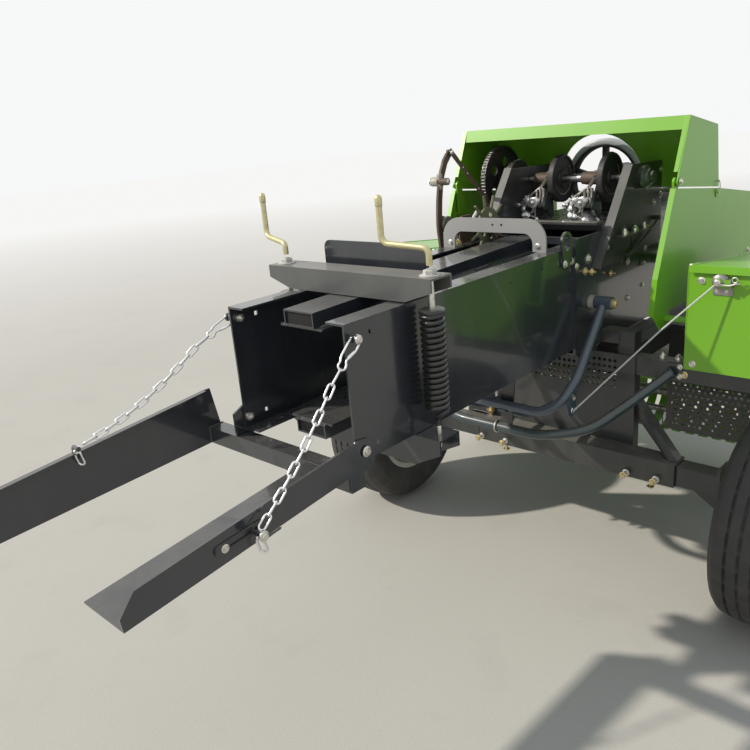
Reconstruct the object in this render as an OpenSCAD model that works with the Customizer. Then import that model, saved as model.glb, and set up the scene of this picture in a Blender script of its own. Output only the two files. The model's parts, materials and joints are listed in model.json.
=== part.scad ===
// Small in-line square baler with a spring-loaded bale chamber, a folding bale chute,
// two knotters under a hood, needle yoke, pickup, drawbar and road wheels.
// +Y is the direction of travel, +X the right-hand side, +Z up. The ground is Z = 0.
// Inside the modules Y is measured from the rear end of the bale chamber and X from the
// chamber's middle; shifted() moves that to the middle of the whole machine.

/* [Bale chamber] */
// Outside width of the bale chamber
chamber_w = 480; // [460:5:500]
// Height of the chamber's side plates
chamber_h = 387; // [380:1:395]
// Height of the chamber's lower edge above the ground
chamber_z = 952; // [945:1:960]
// Length of the bale chamber, rear end to plunger case
chamber_len = 1170; // [1150:5:1190]
// Width of the side plates' folded flanges
flange_w = 67; // [50:1:75]

/* [Plunger case] */
// Front end of the plunger case
case_front = 2450; // [2440:5:2480]

/* [Wheels] */
// Radius of the road tyres
tyre_r = 374; // [370:1:378]
// Width of the road tyres
tyre_w = 270; // [260:1:275]
// Distance of the axle line from the chamber's rear end
axle_y = 1344; // [1340:1:1348]
// Left wheel's middle, left of the chamber's middle
left_track = 849; // [845:1:853]
// Right wheel's middle, right of the chamber's middle
right_track = 945; // [941:1:949]

/* [Tension springs] */
// Turns of each spring
spring_turns = 17; // [14:1:18]
// Distance of each spring from the chamber's middle
spring_x = 293; // [288:1:298]

/* [Bale chute] */
// How far the chute's arms reach behind the chamber
rear_tip = -735; // [-740:5:-720]

/* [Hood] */
// Right side of the knotter hood, from the chamber's middle
hood_right = 475; // [470:1:480]
// Left side of the knotter hood, from the chamber's middle
hood_left = -525; // [-530:1:-520]
// Height of the hood's rear top edge
hood_top = 1752; // [1748:1:1756]

/* [Pickup] */
// Half width between the pickup's side plates
pickup_half = 760; // [750:5:765]
// Number of tine bars on the reel
tine_bars = 4; // [4:1:5]
// Tines on each bar
tines = 22; // [18:1:24]

/* [Drawbar] */
// Front tip of the hitch, ahead of the chamber's rear end
hitch_y = 3560; // [3540:5:3600]

/* [Hidden] */
$fn = 32;
half = chamber_w / 2;
chamber_top = chamber_z + chamber_h;
plate_t = 6;
case_half = half + 10;
case_low = 930;
case_top = 1365;
shift = [-(right_track - left_track) / 2, -(hitch_y + rear_tip) / 2, 0];
// running gap of a pin in its hole
run = 0.05;
// seat gap between two pieces of one body
seat = 0.2;

module shifted() {
    translate(shift) children();
}

module both_sides() {
    children();
    mirror([1, 0, 0]) children();
}

// A box between two corners
module block(lo, hi) {
    translate(lo) cube(hi - lo);
}

// A plate with its outline drawn in [y, z] and its thickness along X
module side_form(x0, x1) {
    translate([x0, 0, 0]) rotate([90, 0, 90]) linear_extrude(x1 - x0) children();
}
module side_sheet(x0, x1, outline) {
    side_form(x0, x1) polygon(outline);
}

// A plate with its outline drawn in [x, z] and its thickness along Y
module cross_form(y0, y1) {
    translate([0, y1, 0]) rotate([90, 0, 0]) linear_extrude(y1 - y0) children();
}

// Round bars along each direction
module bar_x(x0, x1, y, z, r) {
    translate([x0, y, z]) rotate([0, 90, 0]) cylinder(r = r, h = x1 - x0);
}
module bar_y(y0, y1, x, z, r) {
    translate([x, y0, z]) rotate([-90, 0, 0]) cylinder(r = r, h = y1 - y0);
}
module bar_z(z0, z1, x, y, r) {
    translate([x, y, z0]) cylinder(r = r, h = z1 - z0);
}

function unit(v) = v / norm(v);
function way(pts, i) = let (n = len(pts))
    unit(pts[min(i + 1, n - 1)] - pts[max(i - 1, 0)]);
function square_to(a, d) = unit(a - (a * d) * d);
function any_side(d) = square_to(abs(d[2]) > 0.9 ? [1, 0, 0] : [0, 0, 1], d);

// Side vectors along a path, each turned as little as possible from the last
function side_vectors(pts) = [for (i = 0, a = any_side(way(pts, 0)); i < len(pts);
    i = i + 1, a = square_to(a, way(pts, min(i, len(pts) - 1)))) a];

// The points of one ring round p: a and b are the ring's two axes
function ring(p, a, b, r, sides) =
    [for (i = [0 : sides - 1]) p + r * (cos(360 * i / sides) * a + sin(360 * i / sides) * b)];
function ring_walls(n, sides, rings) = [for (i = [0 : n - 1], j = [0 : sides - 1])
    let (k = (i + 1) % rings, m = (j + 1) % sides)
    [i * sides + j, k * sides + j, k * sides + m, i * sides + m]];

// A tube swept along an open list of points
module swept(pts, r, sides = 8) {
    n = len(pts);
    across = side_vectors(pts);
    points = [for (i = [0 : n - 1]) each ring(pts[i], across[i], cross(way(pts, i), across[i]), r, sides)];
    first = [for (j = [0 : sides - 1]) j];
    last = [for (j = [sides - 1 : -1 : 0]) (n - 1) * sides + j];
    polyhedron(points, concat(ring_walls(n - 1, sides, n), [first, last]), convexity = 6);
}

// A closed loop of wire whose points lie in the XZ plane
module looped(pts, r, sides = 6) {
    n = len(pts);
    points = [for (i = [0 : n - 1]) let (d = unit(pts[(i + 1) % n] - pts[(i + n - 1) % n]))
        each ring(pts[i], [0, 1, 0], cross(d, [0, 1, 0]), r, sides)];
    polyhedron(points, ring_walls(n, sides, n), convexity = 6);
}

// Points of a path whose corners are rounded, each corner as a curve of a few steps
function corner_points(a, b, c, r, steps) = let (
    p = b + unit(a - b) * r, q = b + unit(c - b) * r)
    [for (i = [0 : steps]) let (t = i / steps)
        (1 - t) * (1 - t) * p + 2 * t * (1 - t) * b + t * t * q];
function rounded(pts, r, steps = 5) = let (n = len(pts)) concat([pts[0]],
    [for (i = [1 : n - 2]) each corner_points(pts[i - 1], pts[i], pts[i + 1], r, steps)],
    [pts[n - 1]]);

// Bale chamber: two side plates, each folded inward at its top and lower edge, with the
// chute's hinge bolts, the chains' bolts and a lifting eye on each
chute_hinge = [28, 985];
chain_bolt = [18, 1300];
eye_y = 1110;
// columns: y and z of each small square hole near the plates' rear edge
SQUARE_HOLES = [[94, 1299], [86, 990]];
square_hole = 13;
module chamber_side() {
    difference() {
        cross_form(0, chamber_len + 60) polygon([[half - flange_w, chamber_z], [half, chamber_z],
            [half, chamber_top], [half - flange_w, chamber_top], [half - flange_w, chamber_top - plate_t],
            [half - plate_t, chamber_top - plate_t], [half - plate_t, chamber_z + plate_t],
            [half - flange_w, chamber_z + plate_t]]);
        for (p = SQUARE_HOLES) side_form(half - plate_t - 1, half + 1)
            translate(p) square(square_hole, center = true);
    }
    bar_x(half - 1, half + 9, chute_hinge[0], chute_hinge[1], 8);
    bar_x(half + 8.3, half + 13, chute_hinge[0], chute_hinge[1], 12);
    bar_x(half - 1, eye_out + 3, chain_bolt[0], chain_bolt[1], 6);
    bar_x(half, eye_in - 1, chain_bolt[0], chain_bolt[1], 11);
    bar_x(eye_out + 1, eye_out + 7, chain_bolt[0], chain_bolt[1], 11);
    // lifting eye
    difference() {
        side_form(half, half + 9) hull() {
            translate([eye_y, 1366]) circle(36);
            translate([eye_y - 26, 1290]) square([58, 4]);
        }
        side_form(half - 1, half + 10) hull() {
            translate([eye_y, 1356]) circle(20);
            translate([eye_y, 1372]) circle(20);
        }
    }
}
module bale_chamber() {
    color("#2f3336") shifted() both_sides() chamber_side();
}

// Tension rails: a flat tube on a wider plate; the upper one falls to the rear
rail_rear = 65;
rail_tube = 60;
rail_plate = 86;
rail_pivot_y = chamber_len + 22;
module upper_rail() {
    fall = 26;
    front = rail_pivot_y - seat;
    color("#2f3336") shifted() {
        side_sheet(-rail_tube, rail_tube, [[rail_rear, 1291], [front, 1291 + fall],
            [front, 1336 + fall], [rail_rear, 1336]]);
        side_sheet(-rail_plate, rail_plate, [[rail_rear, 1285], [front, 1285 + fall],
            [front, 1291 + fall], [rail_rear, 1291]]);
    }
}
module lower_rail() {
    color("#2f3336") shifted() {
        block([-rail_tube, rail_rear, 963], [rail_tube, chamber_len - seat, 1006]);
        block([-rail_plate, rail_rear, 1006], [rail_plate, chamber_len - seat, 1012]);
    }
}

// Tension cross beams: a folded channel whose faces are deeper in the middle
beam_y = 242;
beam_d = 92;
beam_half = 330;
beam_mid = 235;
module beam_face(edge, shoulder, deep, grow = 1) {
    polygon([[-beam_half * grow, edge], [beam_half * grow, edge], [beam_half * grow, shoulder],
        [beam_mid, deep], [-beam_mid, deep], [-beam_half * grow, shoulder]]);
}
module channel_beam(edge, shoulder, deep) {
    difference() {
        cross_form(beam_y, beam_y + beam_d) beam_face(edge, shoulder, deep);
        translate([0, 0, -plate_t]) cross_form(beam_y + plate_t, beam_y + beam_d - plate_t)
            beam_face(edge, shoulder, deep, 1.1);
        for (x = [-spring_x, spring_x]) bar_z(deep - 20, edge + 20, x, beam_y + beam_d / 2, 8 + seat);
    }
}
module upper_beam() {
    color("#686965") shifted() channel_beam(1412, 1374, 1342.6);
}
module lower_beam() {
    color("#2f3336") shifted() {
        channel_beam(950, 905, 856);
        block([-60, beam_y, 944], [60, beam_y + beam_d, 963 - seat]);
    }
}

// Springs: close-wound extension springs between a threaded plug and a hooked rod
spring_y = beam_y + beam_d / 2;
coil_r = 30;
wire_r = 7;
coil_low = 1026;
coil_high = 1306;
module tension_springs() {
    color("#15171a") shifted() both_sides() {
        steps = 10;
        last = spring_turns * steps;
        translate([spring_x, spring_y, 0]) {
            swept([for (i = [0 : last]) let (a = 360 * i / steps) [coil_r * cos(a), coil_r * sin(a),
                coil_low + (coil_high - coil_low) * i / last]], wire_r, 6);
            swept(rounded([[coil_r, -12, coil_low - 1], [coil_r - 4, 8, coil_low - 12],
                [0, 0, coil_low - 30], [0, 0, 960]], 8, 3), 6.5, 6);
            translate([0, 0, coil_high - 4]) cylinder(r = coil_r - 1, h = 6);
            translate([0, 0, coil_high + 2]) cylinder(r1 = coil_r + 4, r2 = 12, h = 56);
            bar_z(coil_high + 50, 1432, 0, 0, 8);
            bar_z(916, 970, 0, 0, 8);
            bar_z(926, 944 - seat, 0, 0, 15);
        }
    }
}

// Bent crank handles with their nuts on the upper beam
// columns: side, arm's turn about the rod in degrees, height of the arm's far end
CRANKS = [[1, 188, 1496], [-1, 162, 1486]];
crank_arm = 150;
crank_top = 1618;
module crank(side, turn, bend_z) {
    foot = [side * spring_x, spring_y];
    arm = crank_arm * [cos(turn), sin(turn)];
    difference() {
        bar_z(1412 + seat, 1446, foot[0], foot[1], 17);
        bar_z(1400, 1436, foot[0], foot[1], 8 + seat);
    }
    end = foot + arm;
    swept(rounded([[foot[0], foot[1], 1444], [foot[0], foot[1], bend_z - 11], [end[0], end[1], bend_z],
        [end[0], end[1], crank_top]], 22), 9, 8);
}
module crank_handles() {
    color("#a39a54") shifted() for (c = CRANKS) crank(c[0], c[1], c[2]);
}

// Upright plate with rounded top corners behind the upper beam, notched over the rail
module rail_stop() {
    color("#2f3336") shifted() cross_form(380, 388) difference() {
        hull() {
            translate([-210, chamber_top]) square([420, 4]);
            for (x = [-184, 184]) translate([x, 1449]) circle(26);
        }
        translate([-100, 1300]) square([200, 60]);
    }
}

// Arch plate over the rail, standing on the chamber's flanges
arch_y = 1040;
module arch_plate() {
    color("#a4a3a1") shifted() cross_form(arch_y - 4, arch_y + 4) difference() {
        translate([-16, 0]) hull() {
            translate([-223, chamber_top]) square([446, 4]);
            for (x = [-150, 150]) translate([x, 1381]) circle(73);
        }
        translate([-16, 0]) hull() {
            translate([-170, chamber_top - 2]) square([340, 4]);
            for (x = [-134, 134]) translate([x, 1367]) circle(36);
        }
        translate([-300, chamber_top - 100]) square([600, 100]);
        for (x = [-12, 26]) translate([x, 1430]) circle(5);
    }
}

// Metering wheel that the bale turns. Its shaft runs out to the left, where the trip arm
// rides on a roller between two discs.
star_c = [-130, 1180, 1404];
star_tip = 117;
star_points = 11;
roller_x = [-356, -326];
roller_r = 15;
shaft_r = 14;
module star_wheel() {
    color("#8d8f6a") shifted() {
        translate(star_c) side_form(-4, 4) difference() {
            union() {
                circle(70);
                for (i = [0 : star_points - 1]) rotate(360 * i / star_points + 3.4)
                    polygon([[0, 9], [star_tip, 3], [star_tip, -3], [0, -9]]);
            }
            for (i = [0 : 4]) rotate(72 * i) translate([44, 0]) circle(11);
        }
        bar_x(roller_x[0], -90, star_c[1], star_c[2], shaft_r);
        bar_x(star_c[0] - 16, star_c[0] + 4, star_c[1], star_c[2], 26);
        bar_x(roller_x[0], roller_x[1], star_c[1], star_c[2], roller_r);
        for (x = [roller_x[0], roller_x[1] - 5]) bar_x(x, x + 5, star_c[1], star_c[2], 33);
    }
}

// Trip arm: a curved flat bar, its strap to the knotter clutch, and the bearings of the
// metering wheel's shaft
arm_x = -341;
arm_t = 10;
arm_deep = 14;
strap_end = [1490, 1450];
// points of the arm's middle as y and z, from its foot up
ARM_LINE = [[1156, 1300], [1151, 1345], [1145, 1385], [1144, 1410], [1146, 1450], [1151, 1500],
    [1160, 1550], [1174, 1600], [1199, 1648], [1234, 1684]];
function strip(pts, w) = let (n = len(pts)) concat(
    [for (i = [0 : n - 1]) let (d = way(pts, i)) pts[i] + w * [-d[1], d[0]]],
    [for (i = [n - 1 : -1 : 0]) let (d = way(pts, i)) pts[i] - w * [-d[1], d[0]]]);
module trip_arm() {
    color("#5b4a3c") shifted() {
        side_sheet(arm_x - arm_t / 2, arm_x + arm_t / 2, strip(ARM_LINE, arm_deep));
        side_sheet(arm_x + arm_t / 2, arm_x + arm_t / 2 + 6, strip([[1226, 1691], strap_end], 9));
        bar_x(arm_x - 8, arm_x + 14, 1230, 1680, 8);
        bar_x(arm_x - 40, arm_x + 42, 1160, 1575, 14);
        bar_x(arm_x, -half, 1156, 1310, 9);
        bar_x(arm_x, -frame_out, strap_end[0], strap_end[1], 8);
        difference() {
            union() {
                side_sheet(-half, 8 - half, [[1126, chamber_top], [1232, chamber_top], [1214, 1442],
                    [1150, 1442]]);
                side_sheet(-100, -92, [[1192, 1341], [1216, 1341], [1216, 1380], [1206, 1438], [1154, 1438],
                    [1152, 1384]]);
            }
            bar_x(-300, 60, star_c[1], star_c[2], shaft_r + run);
        }
    }
}

// Plunger case: heavy side plates, a floor with the pickup's intake, a roof and a front wall
module plunger_case() {
    color("#2b2f31") shifted() {
        both_sides() side_sheet(half, case_half, [[chamber_len, case_low], [case_front, case_low],
            [case_front, case_top], [chamber_len, case_top]]);
        block([-half, chamber_len, case_low], [half, 1800, case_low + 8]);
        block([-half, 2250, case_low], [half, case_front, case_low + 8]);
        difference() {
            block([-half, 1420, case_top - 8], [half, case_front, case_top]);
            block([-152, 1916, case_top - 10], [112, 1968, case_top + 2]);
        }
        block([-half, case_front - 8, case_low], [half, case_front, case_top]);
        // sill in front of the lower rail and hinge bar of the upper rail
        block([-half + flange_w + 4, chamber_len, case_low + 8],
            [half - flange_w - 4, chamber_len + 20, 1012]);
        block([-92 + seat, rail_pivot_y, 1341], [half, rail_pivot_y + 24, case_top]);
        // stiffening ribs along the sides
        for (z = [case_low + 30, case_top - 60]) both_sides()
            block([case_half, 1960, z], [case_half + 8, case_front, z + 30]);
    }
}
module plunger() {
    color("#3b3f41") shifted() {
        block([-half + 14, 1980, case_low + 8], [half - 14, 2000, case_top - 20]);
        block([-half + 40, 2000, case_low + 8], [half - 40, 2420, case_top - 60]);
    }
}

// Knotter frame: a slanted plate each side with a folded rear flange, and bars between
knot_y = 1685;
knot_z = 1530;
knot_shaft = 17;
frame_out = case_half + 8;
module knotter_frame() {
    color("#262b2c") shifted() {
        both_sides() {
            difference() {
                side_sheet(case_half, frame_out, [[1294, 1235], [1547, 1587], [1878, 1579],
                    [1890, 1250], [1500, 1225]]);
                bar_x(case_half - 5, frame_out + 5, knot_y, knot_z, 30);
            }
            side_sheet(case_half, case_half + 35, [[1288, 1239], [1541, 1591], [1547, 1587], [1294, 1235]]);
            // bearing flange of the knotter shaft
            difference() {
                bar_x(frame_out - 6, frame_out + 16, knot_y, knot_z, 44);
                bar_x(frame_out - 10, frame_out + 20, knot_y, knot_z, knot_shaft + seat);
            }
        }
        block([-case_half, 1325, 1392], [case_half, 1375, 1400]);
        block([-case_half, 1369, case_top], [case_half, 1375, 1392]);
        block([frame_out, 1445, 1326], [frame_out + 42, 1721, 1332]);
    }
}

// Knotters on the common shaft
// columns: the twine line of each knotter, from the chamber's middle
KNOTTERS = [-165, 55];
cam_r = 98;
module knotter_casting() {
    // open A-shaped frame that hangs from the shaft
    cross_form(1588, 1602) difference() {
        polygon([[-83, 1424], [20, 1524], [40, 1524], [44, 1424]]);
        polygon([[-60, 1434], [-12, 1480], [-12, 1434]]);
        polygon([[8, 1434], [8, 1496], [18, 1508], [30, 1508], [30, 1434]]);
    }
    // hanger of the bill hook, with a long hole
    side_form(36, 46) difference() {
        hull() {
            translate([knot_y, knot_z]) circle(30);
            translate([1592, 1425]) circle(14);
            translate([1650, 1381]) circle(14);
        }
        hull() {
            translate([1640, 1478]) circle(16);
            translate([1636, 1412]) circle(12);
        }
    }
}
module notched_disc(r, teeth) {
    difference() {
        circle(r);
        for (i = [0 : teeth - 1]) rotate(360 * i / teeth) translate([r, 0]) circle(r / 6, $fn = 8);
    }
}
module knotter() {
    // cam disc with its hub and dished face
    difference() {
        union() {
            bar_x(58, 84, knot_y, knot_z, cam_r);
            bar_x(46 + seat, 60, knot_y, knot_z, 38);
        }
        bar_x(-60, 100, knot_y, knot_z, knot_shaft + seat);
        difference() {
            bar_x(56, 68, knot_y, knot_z, cam_r - 14);
            bar_x(54, 70, knot_y, knot_z, 46);
        }
    }
    difference() {
        union() {
            knotter_casting();
            bar_x(-50, 46, knot_y, knot_z, 27);
        }
        bar_x(-60, 50, knot_y, knot_z, knot_shaft + seat);
    }
    // spiked twine disc, its drum and the knife arm
    cross_form(1574, 1588) translate([-28, 1450]) notched_disc(24, 9);
    bar_y(1562, 1588, 3, 1442, 21);
    bar_z(1404, 1442, -4, 1580, 7);
    swept([[-4, 1580, 1408], [-10, 1562, 1400], [-14, 1544, 1410]], 5, 6);
}
module knotters() {
    color("#5f5a55") shifted() {
        for (x = KNOTTERS) translate([x, 0, 0]) knotter();
        bar_x(-470, frame_out + 22, knot_y, knot_z, knot_shaft);
    }
}

// Knotter drive: clutch, large sprocket and its chain from the cross shaft on the left
drive_y = 1850;
drive_z = 1400;
sprocket_x = -400;
sprocket_r = 140;
module chain_outline(grow) {
    hull() {
        translate([knot_y, knot_z]) circle(sprocket_r + grow);
        translate([drive_y, drive_z]) circle(22 + grow);
    }
}
module knotter_drive() {
    color("#3a3d3e") shifted() {
        difference() {
            union() {
                bar_x(-340, -284, knot_y, knot_z, 40);
                bar_x(-326, -300, knot_y, knot_z, 84);
                for (i = [0 : 5]) translate([0, knot_y, knot_z]) rotate([60 * i, 0, 0])
                    bar_x(-334, -326, 62, 0, 8);
                side_form(sprocket_x, sprocket_x + 12) difference() {
                    translate([knot_y, knot_z]) union() {
                        circle(sprocket_r - 6);
                        for (i = [0 : 23]) rotate(15 * i) translate([sprocket_r - 8, 0]) circle(7, $fn = 6);
                    }
                    translate([knot_y, knot_z]) for (i = [0 : 4])
                        rotate(72 * i) translate([82, 0]) circle(24);
                }
                bar_x(sprocket_x - 14, -340, knot_y, knot_z, 34);
            }
            bar_x(-430, -270, knot_y, knot_z, knot_shaft + seat);
        }
        side_form(sprocket_x - 4, sprocket_x + 16) difference() {
            chain_outline(8);
            chain_outline(0);
        }
        bar_x(sprocket_x, -frame_out, drive_y, drive_z, 17);
        bar_x(sprocket_x, sprocket_x + 12, drive_y, drive_z, 21);
        bar_x(-frame_out - 16, -frame_out, drive_y, drive_z, 36);
    }
}

// Needle yoke: a bent tube under the chamber that carries two curved needles
yoke_pivot = [1282, 1115];
yoke_reach = 467;
module needle_yoke() {
    color("#3d4a55") shifted() {
        both_sides() {
            bar_x(case_half + seat, 338, yoke_pivot[0], yoke_pivot[1], 24);
            bar_x(338, 346, yoke_pivot[0], yoke_pivot[1], 15);
            // twine guide on the arm
            difference() {
                side_sheet(297, 303, [[1004, 806], [1082, 872], [1072, 742], [1032, 742]]);
                bar_x(290, 310, 1052, 760, 8);
            }
        }
        swept(rounded([[-305, 1282, 1115], [-305, 1080, 880], [-286, 1000, 806], [-220, 975, 762],
            [220, 975, 762], [286, 1000, 806], [305, 1080, 880], [305, 1282, 1115]], 36), 18, 8);
        for (x = KNOTTERS) swept([for (a = [-131 : 6 : -83])
            [x, yoke_pivot[0] + yoke_reach * cos(a), yoke_pivot[1] + yoke_reach * sin(a)]], 10, 6);
    }
}

// Bent guard tube round the yoke, on two foot plates against the rear rails
GUARD = [[531, 1371, 847], [430, 1250, 749], [350, 1093, 678], [200, 1000, 655]];
module yoke_guard() {
    color("#344444") shifted() {
        swept(rounded([for (i = [0 : 7]) let (p = GUARD[i < 4 ? i : 7 - i])
            [i < 4 ? p[0] : -p[0], p[1], p[2]]], 50), 19, 10);
        both_sides() block([512, 1379, 828], [568, 1385, 884]);
    }
}

// Hood: fixed side panels with a folded rear edge, and the low front deck beside the gearbox.
// The seam between the panels and the lid falls to the front.
seam_rear = [1480, 1506];
seam_front = [1917, 1460];
seam_gap = 6;
function seam_at(y) = seam_rear[1] + (y - seam_rear[0]) * (seam_front[1] - seam_rear[1])
    / (seam_front[0] - seam_rear[0]);
lid_pivot = [1508, 1526];
pivot_r = 16;
hood_t = 4;
fold = 16;
deck_rear = [1924, 1458];
deck_front = [2397, 1387];
panel_front = [2400, 1390];
module hood_panel(x, away) {
    face = [min(x, x - away * hood_t), max(x, x - away * hood_t)];
    inner = x - away * hood_t;
    deep = x - away * (hood_t + fold);
    side_sheet(face[0], face[1], [seam_rear, [1350, 1200], [1322, 1068], [1392, 1002], [1462, 1012],
        [1470, 1060], [2400, 1060], panel_front, seam_front]);
    side_sheet(min(inner, deep), max(inner, deep), [seam_rear, [1350, 1200], [1322, 1068], [1326, 1068],
        [1354, 1200], seam_rear + [4, 0]]);
    // pivot bracket and pin for the lid
    side_form(min(x - away * 12, x - away * 20), max(x - away * 12, x - away * 20)) hull() {
        translate(lid_pivot) circle(pivot_r);
        translate([1502, 1400]) square([63, 10]);
    }
    block([min(inner, x - away * 12), 1502, 1400], [max(inner, x - away * 12), 1565, 1410]);
    pin = [x - away * 18, x + away * 6];
    bar_x(min(pin), max(pin), lid_pivot[0], lid_pivot[1], 6);
    // stays from the plunger case
    for (y = [2030, 2320])
        block([min(away * case_half, inner), y, 1120], [max(away * case_half, inner), y + 40, 1160]);
}
module hood_sides() {
    color("#61991e") shifted() {
        hood_panel(hood_right, 1);
        hood_panel(hood_left, -1);
        for (span = [[hood_left + hood_t, fly_c[0] - fly_r - 6],
            [fly_c[0] + fly_r + 6, hood_right - hood_t]]) {
            side_sheet(span[0], span[1], [deck_rear, deck_front, deck_front - [0, hood_t],
                deck_rear - [0, hood_t]]);
            block([span[0], 2392, 1366], [span[1], 2397, 1386]);
        }
        bar_x(hood_right - 1, 590, 1430, 1040, 12);
        bar_x(-590, hood_left + 1, 1430, 1040, 12);
    }
}

// Hood lid: roof, two cheeks with folded edges and a front wall with a round opening
lid_foot = [seam_front[0], seam_front[1] + seam_gap];
roof_rear = [1585, hood_top];
roof_front = [1868, hood_top - 46];
module lid_cheek(x0, inward) {
    difference() {
        side_form(x0, x0 + hood_t) hull() {
            translate(lid_pivot) circle(pivot_r);
            polygon([roof_rear, roof_front, lid_foot, [1600, seam_at(1600) + seam_gap]]);
        }
        bar_x(x0 - 5, x0 + 10, lid_pivot[0], lid_pivot[1], 6 + run);
    }
    edge = inward > 0 ? x0 + hood_t : x0 - fold;
    side_sheet(edge, edge + fold, [[1504, 1562], roof_rear, roof_rear + [4, 0], [1508, 1562]]);
}
module hood_lid() {
    color("#61991e") shifted() {
        lid_cheek(hood_right - hood_t, -1);
        lid_cheek(hood_left, 1);
        side_sheet(hood_left, hood_right, [roof_rear, roof_front, roof_front - [0, 5], roof_rear - [0, 5]]);
        side_sheet(hood_left, hood_right, [roof_rear, roof_rear + [4, 0], roof_rear + [-12, -48],
            roof_rear + [-16, -48]]);
        difference() {
            side_sheet(hood_left, hood_right, [roof_front, lid_foot, lid_foot - [4, 0], roof_front - [4, 0]]);
            bar_y(1780, 1980, fly_c[0], 1507, fly_r + 10);
        }
    }
}

// Twine boxes above the wheels, open on top, each with a sloping lid on a pin hinge
box_in = 590;
box_out = 975;
box_rear = 1330;
box_front = 2030;
box_low = 887;
lid_rear_z = 1255;
lid_front_z = 1180;
lid_slope = atan((lid_rear_z - lid_front_z) / (box_front - box_rear));
lid_run = (box_front - box_rear) / cos(lid_slope);
hinge_x = 578;
ear = 16;
HINGES = [60, 590];
module on_slope() {
    translate([0, box_rear, lid_rear_z]) rotate([-lid_slope, 0, 0]) children();
}
module twine_box() {
    difference() {
        side_sheet(box_in, box_out, [[box_rear, box_low], [box_front, box_low],
            [box_front, lid_front_z - 6], [box_rear, lid_rear_z - 6]]);
        side_sheet(box_in + 4, box_out - 4, [[box_rear + 4, box_low + 4], [box_front - 4, box_low + 4],
            [box_front - 4, lid_front_z], [box_rear + 4, lid_rear_z]]);
    }
    on_slope() for (y = HINGES) {
        block([hinge_x - 8, y, -18], [box_in, y + ear, 8]);
        bar_y(y + ear - 1, y + 62, hinge_x, 0, 4);
    }
}
module twine_lid() {
    on_slope() {
        block([596, -14, 5], [box_out + 10, lid_run + 14, 8.5]);
        block([box_out + 6, -14, -14], [box_out + 10, lid_run + 14, 8.5]);
        for (y = [-14, lid_run + 10]) block([596, y, -14], [box_out + 10, y + 4, 8.5]);
        for (y = HINGES) difference() {
            union() {
                bar_y(y + ear + 0.3, y + 62, hinge_x, 0, 8.5);
                block([hinge_x, y + ear + 0.3, 4.5], [600, y + 62, 8.5]);
            }
            bar_y(y, y + 70, hinge_x, 0, 4 + run);
        }
    }
}
// twine tensioner on the right box's rear face
module tensioner() {
    bar_y(1322, box_rear, 700, 1218, 22);
    bar_y(1300, 1322, 700, 1218, 12);
    block([704, 1306, 1196], [738, 1312, 1226]);
    block([730, 1306, 1196], [738, box_rear, 1226]);
}
module twine_box_right() {
    color("#61991e") shifted() {
        twine_box();
        tensioner();
    }
}
module twine_box_left() {
    color("#61991e") shifted() mirror([1, 0, 0]) twine_box();
}
module twine_lid_right() {
    color("#6aa327") shifted() twine_lid();
}
module twine_lid_left() {
    color("#6aa327") shifted() mirror([1, 0, 0]) twine_lid();
}

// Twine, held taut from the tensioner on the box to the yoke's guide
twine_path = [[699, 1297, 1216], [540, 1225, 1047], [306, 1054, 762]];
module twine() {
    color("#e8e8e2") shifted() swept(twine_path, 3, 8);
}

// Main frame: axle tube, posts, twine box rails, long members, braces, the apron and the
// perforated sheets that hang from the front rails
axle_rear = 1290;
axle_front = axle_rear + 95;
axle_low = 425;
axle_high = 518;
// columns: side, height of the brace's foot, where it stands on the axle
BRACES = [[1, axle_high], [-1, axle_high - 9]];
rail_front = 1880;
sheet_low = 400;
module punched_sheet() {
    difference() {
        block([322, rail_front - 4, sheet_low], [800, rail_front, 850]);
        for (i = [0 : 17], j = [0 : 9])
            bar_y(rail_front - 10, rail_front + 5, 350 + 25 * i + 12 * (j % 2), sheet_low + 30 + 24 * j, 7,
                $fn = 8);
    }
}
module main_frame() {
    color("#2d3133") shifted() {
        difference() {
            block([-290, axle_rear, axle_low], [590, axle_front, axle_high]);
            block([-300, axle_rear + 7, axle_low + 7], [600, axle_front - 7, axle_high - 7]);
        }
        both_sides() {
            block([322, axle_front, 430], [382, 1445, 981]);
            block([382, axle_front, 815], [960, 1445, box_low]);
            block([322, rail_front, 827], [960, 1930, box_low]);
            punched_sheet();
            block([case_half, axle_front, case_low], [322, 1445, 981]);
            // long member and its upright at the case's front end
            block([262, 1445, 800], [322, 2700, 880]);
            block([case_half, 2390, 880], [322, 2440, 960]);
        }
        for (b = BRACES) hull() {
            block([min(382 * b[0], 390 * b[0]), 1400, 650], [max(382 * b[0], 390 * b[0]), 1445, 710]);
            block([min(552 * b[0], 590 * b[0]), 1320, b[1]], [max(552 * b[0], 590 * b[0]), 1365, b[1] + 6]);
        }
        block([-322, 2640, 800], [322, 2700, 880]);
        // apron with its perforated upper part
        difference() {
            block([-390, axle_front - 6, axle_high - 1], [390, axle_front, 890]);
            for (i = [-14 : 14], j = [0 : 4])
                bar_y(axle_front - 10, axle_front + 4, 22 * i, 755 + 26 * j, 7, $fn = 12);
        }
    }
}

// Axle stubs with dropped spindle plates
stub_plate = 190;
module stub(root, wheel_x) {
    plate = wheel_x - stub_plate;
    block([root, axle_rear + 9, axle_low + 7], [plate, axle_front - 9, axle_high - 9]);
    side_sheet(plate - 12, plate, [[axle_rear, axle_high + 20], [axle_front, axle_high + 20],
        [axle_front, 345], [axle_rear + 60, 326], [axle_rear + 20, 326], [axle_rear, 345]]);
    cross_form(axle_y - 5, axle_y + 5) polygon([[plate - 140, axle_low + 7], [plate - 12, axle_low + 7],
        [plate - 12, 345]]);
    bar_x(plate, wheel_x + 20, axle_y, tyre_r, 22);
}
module axle_stubs() {
    color("#33383a") shifted() {
        stub(400, right_track);
        mirror([1, 0, 0]) stub(150, left_track);
    }
}

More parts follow.
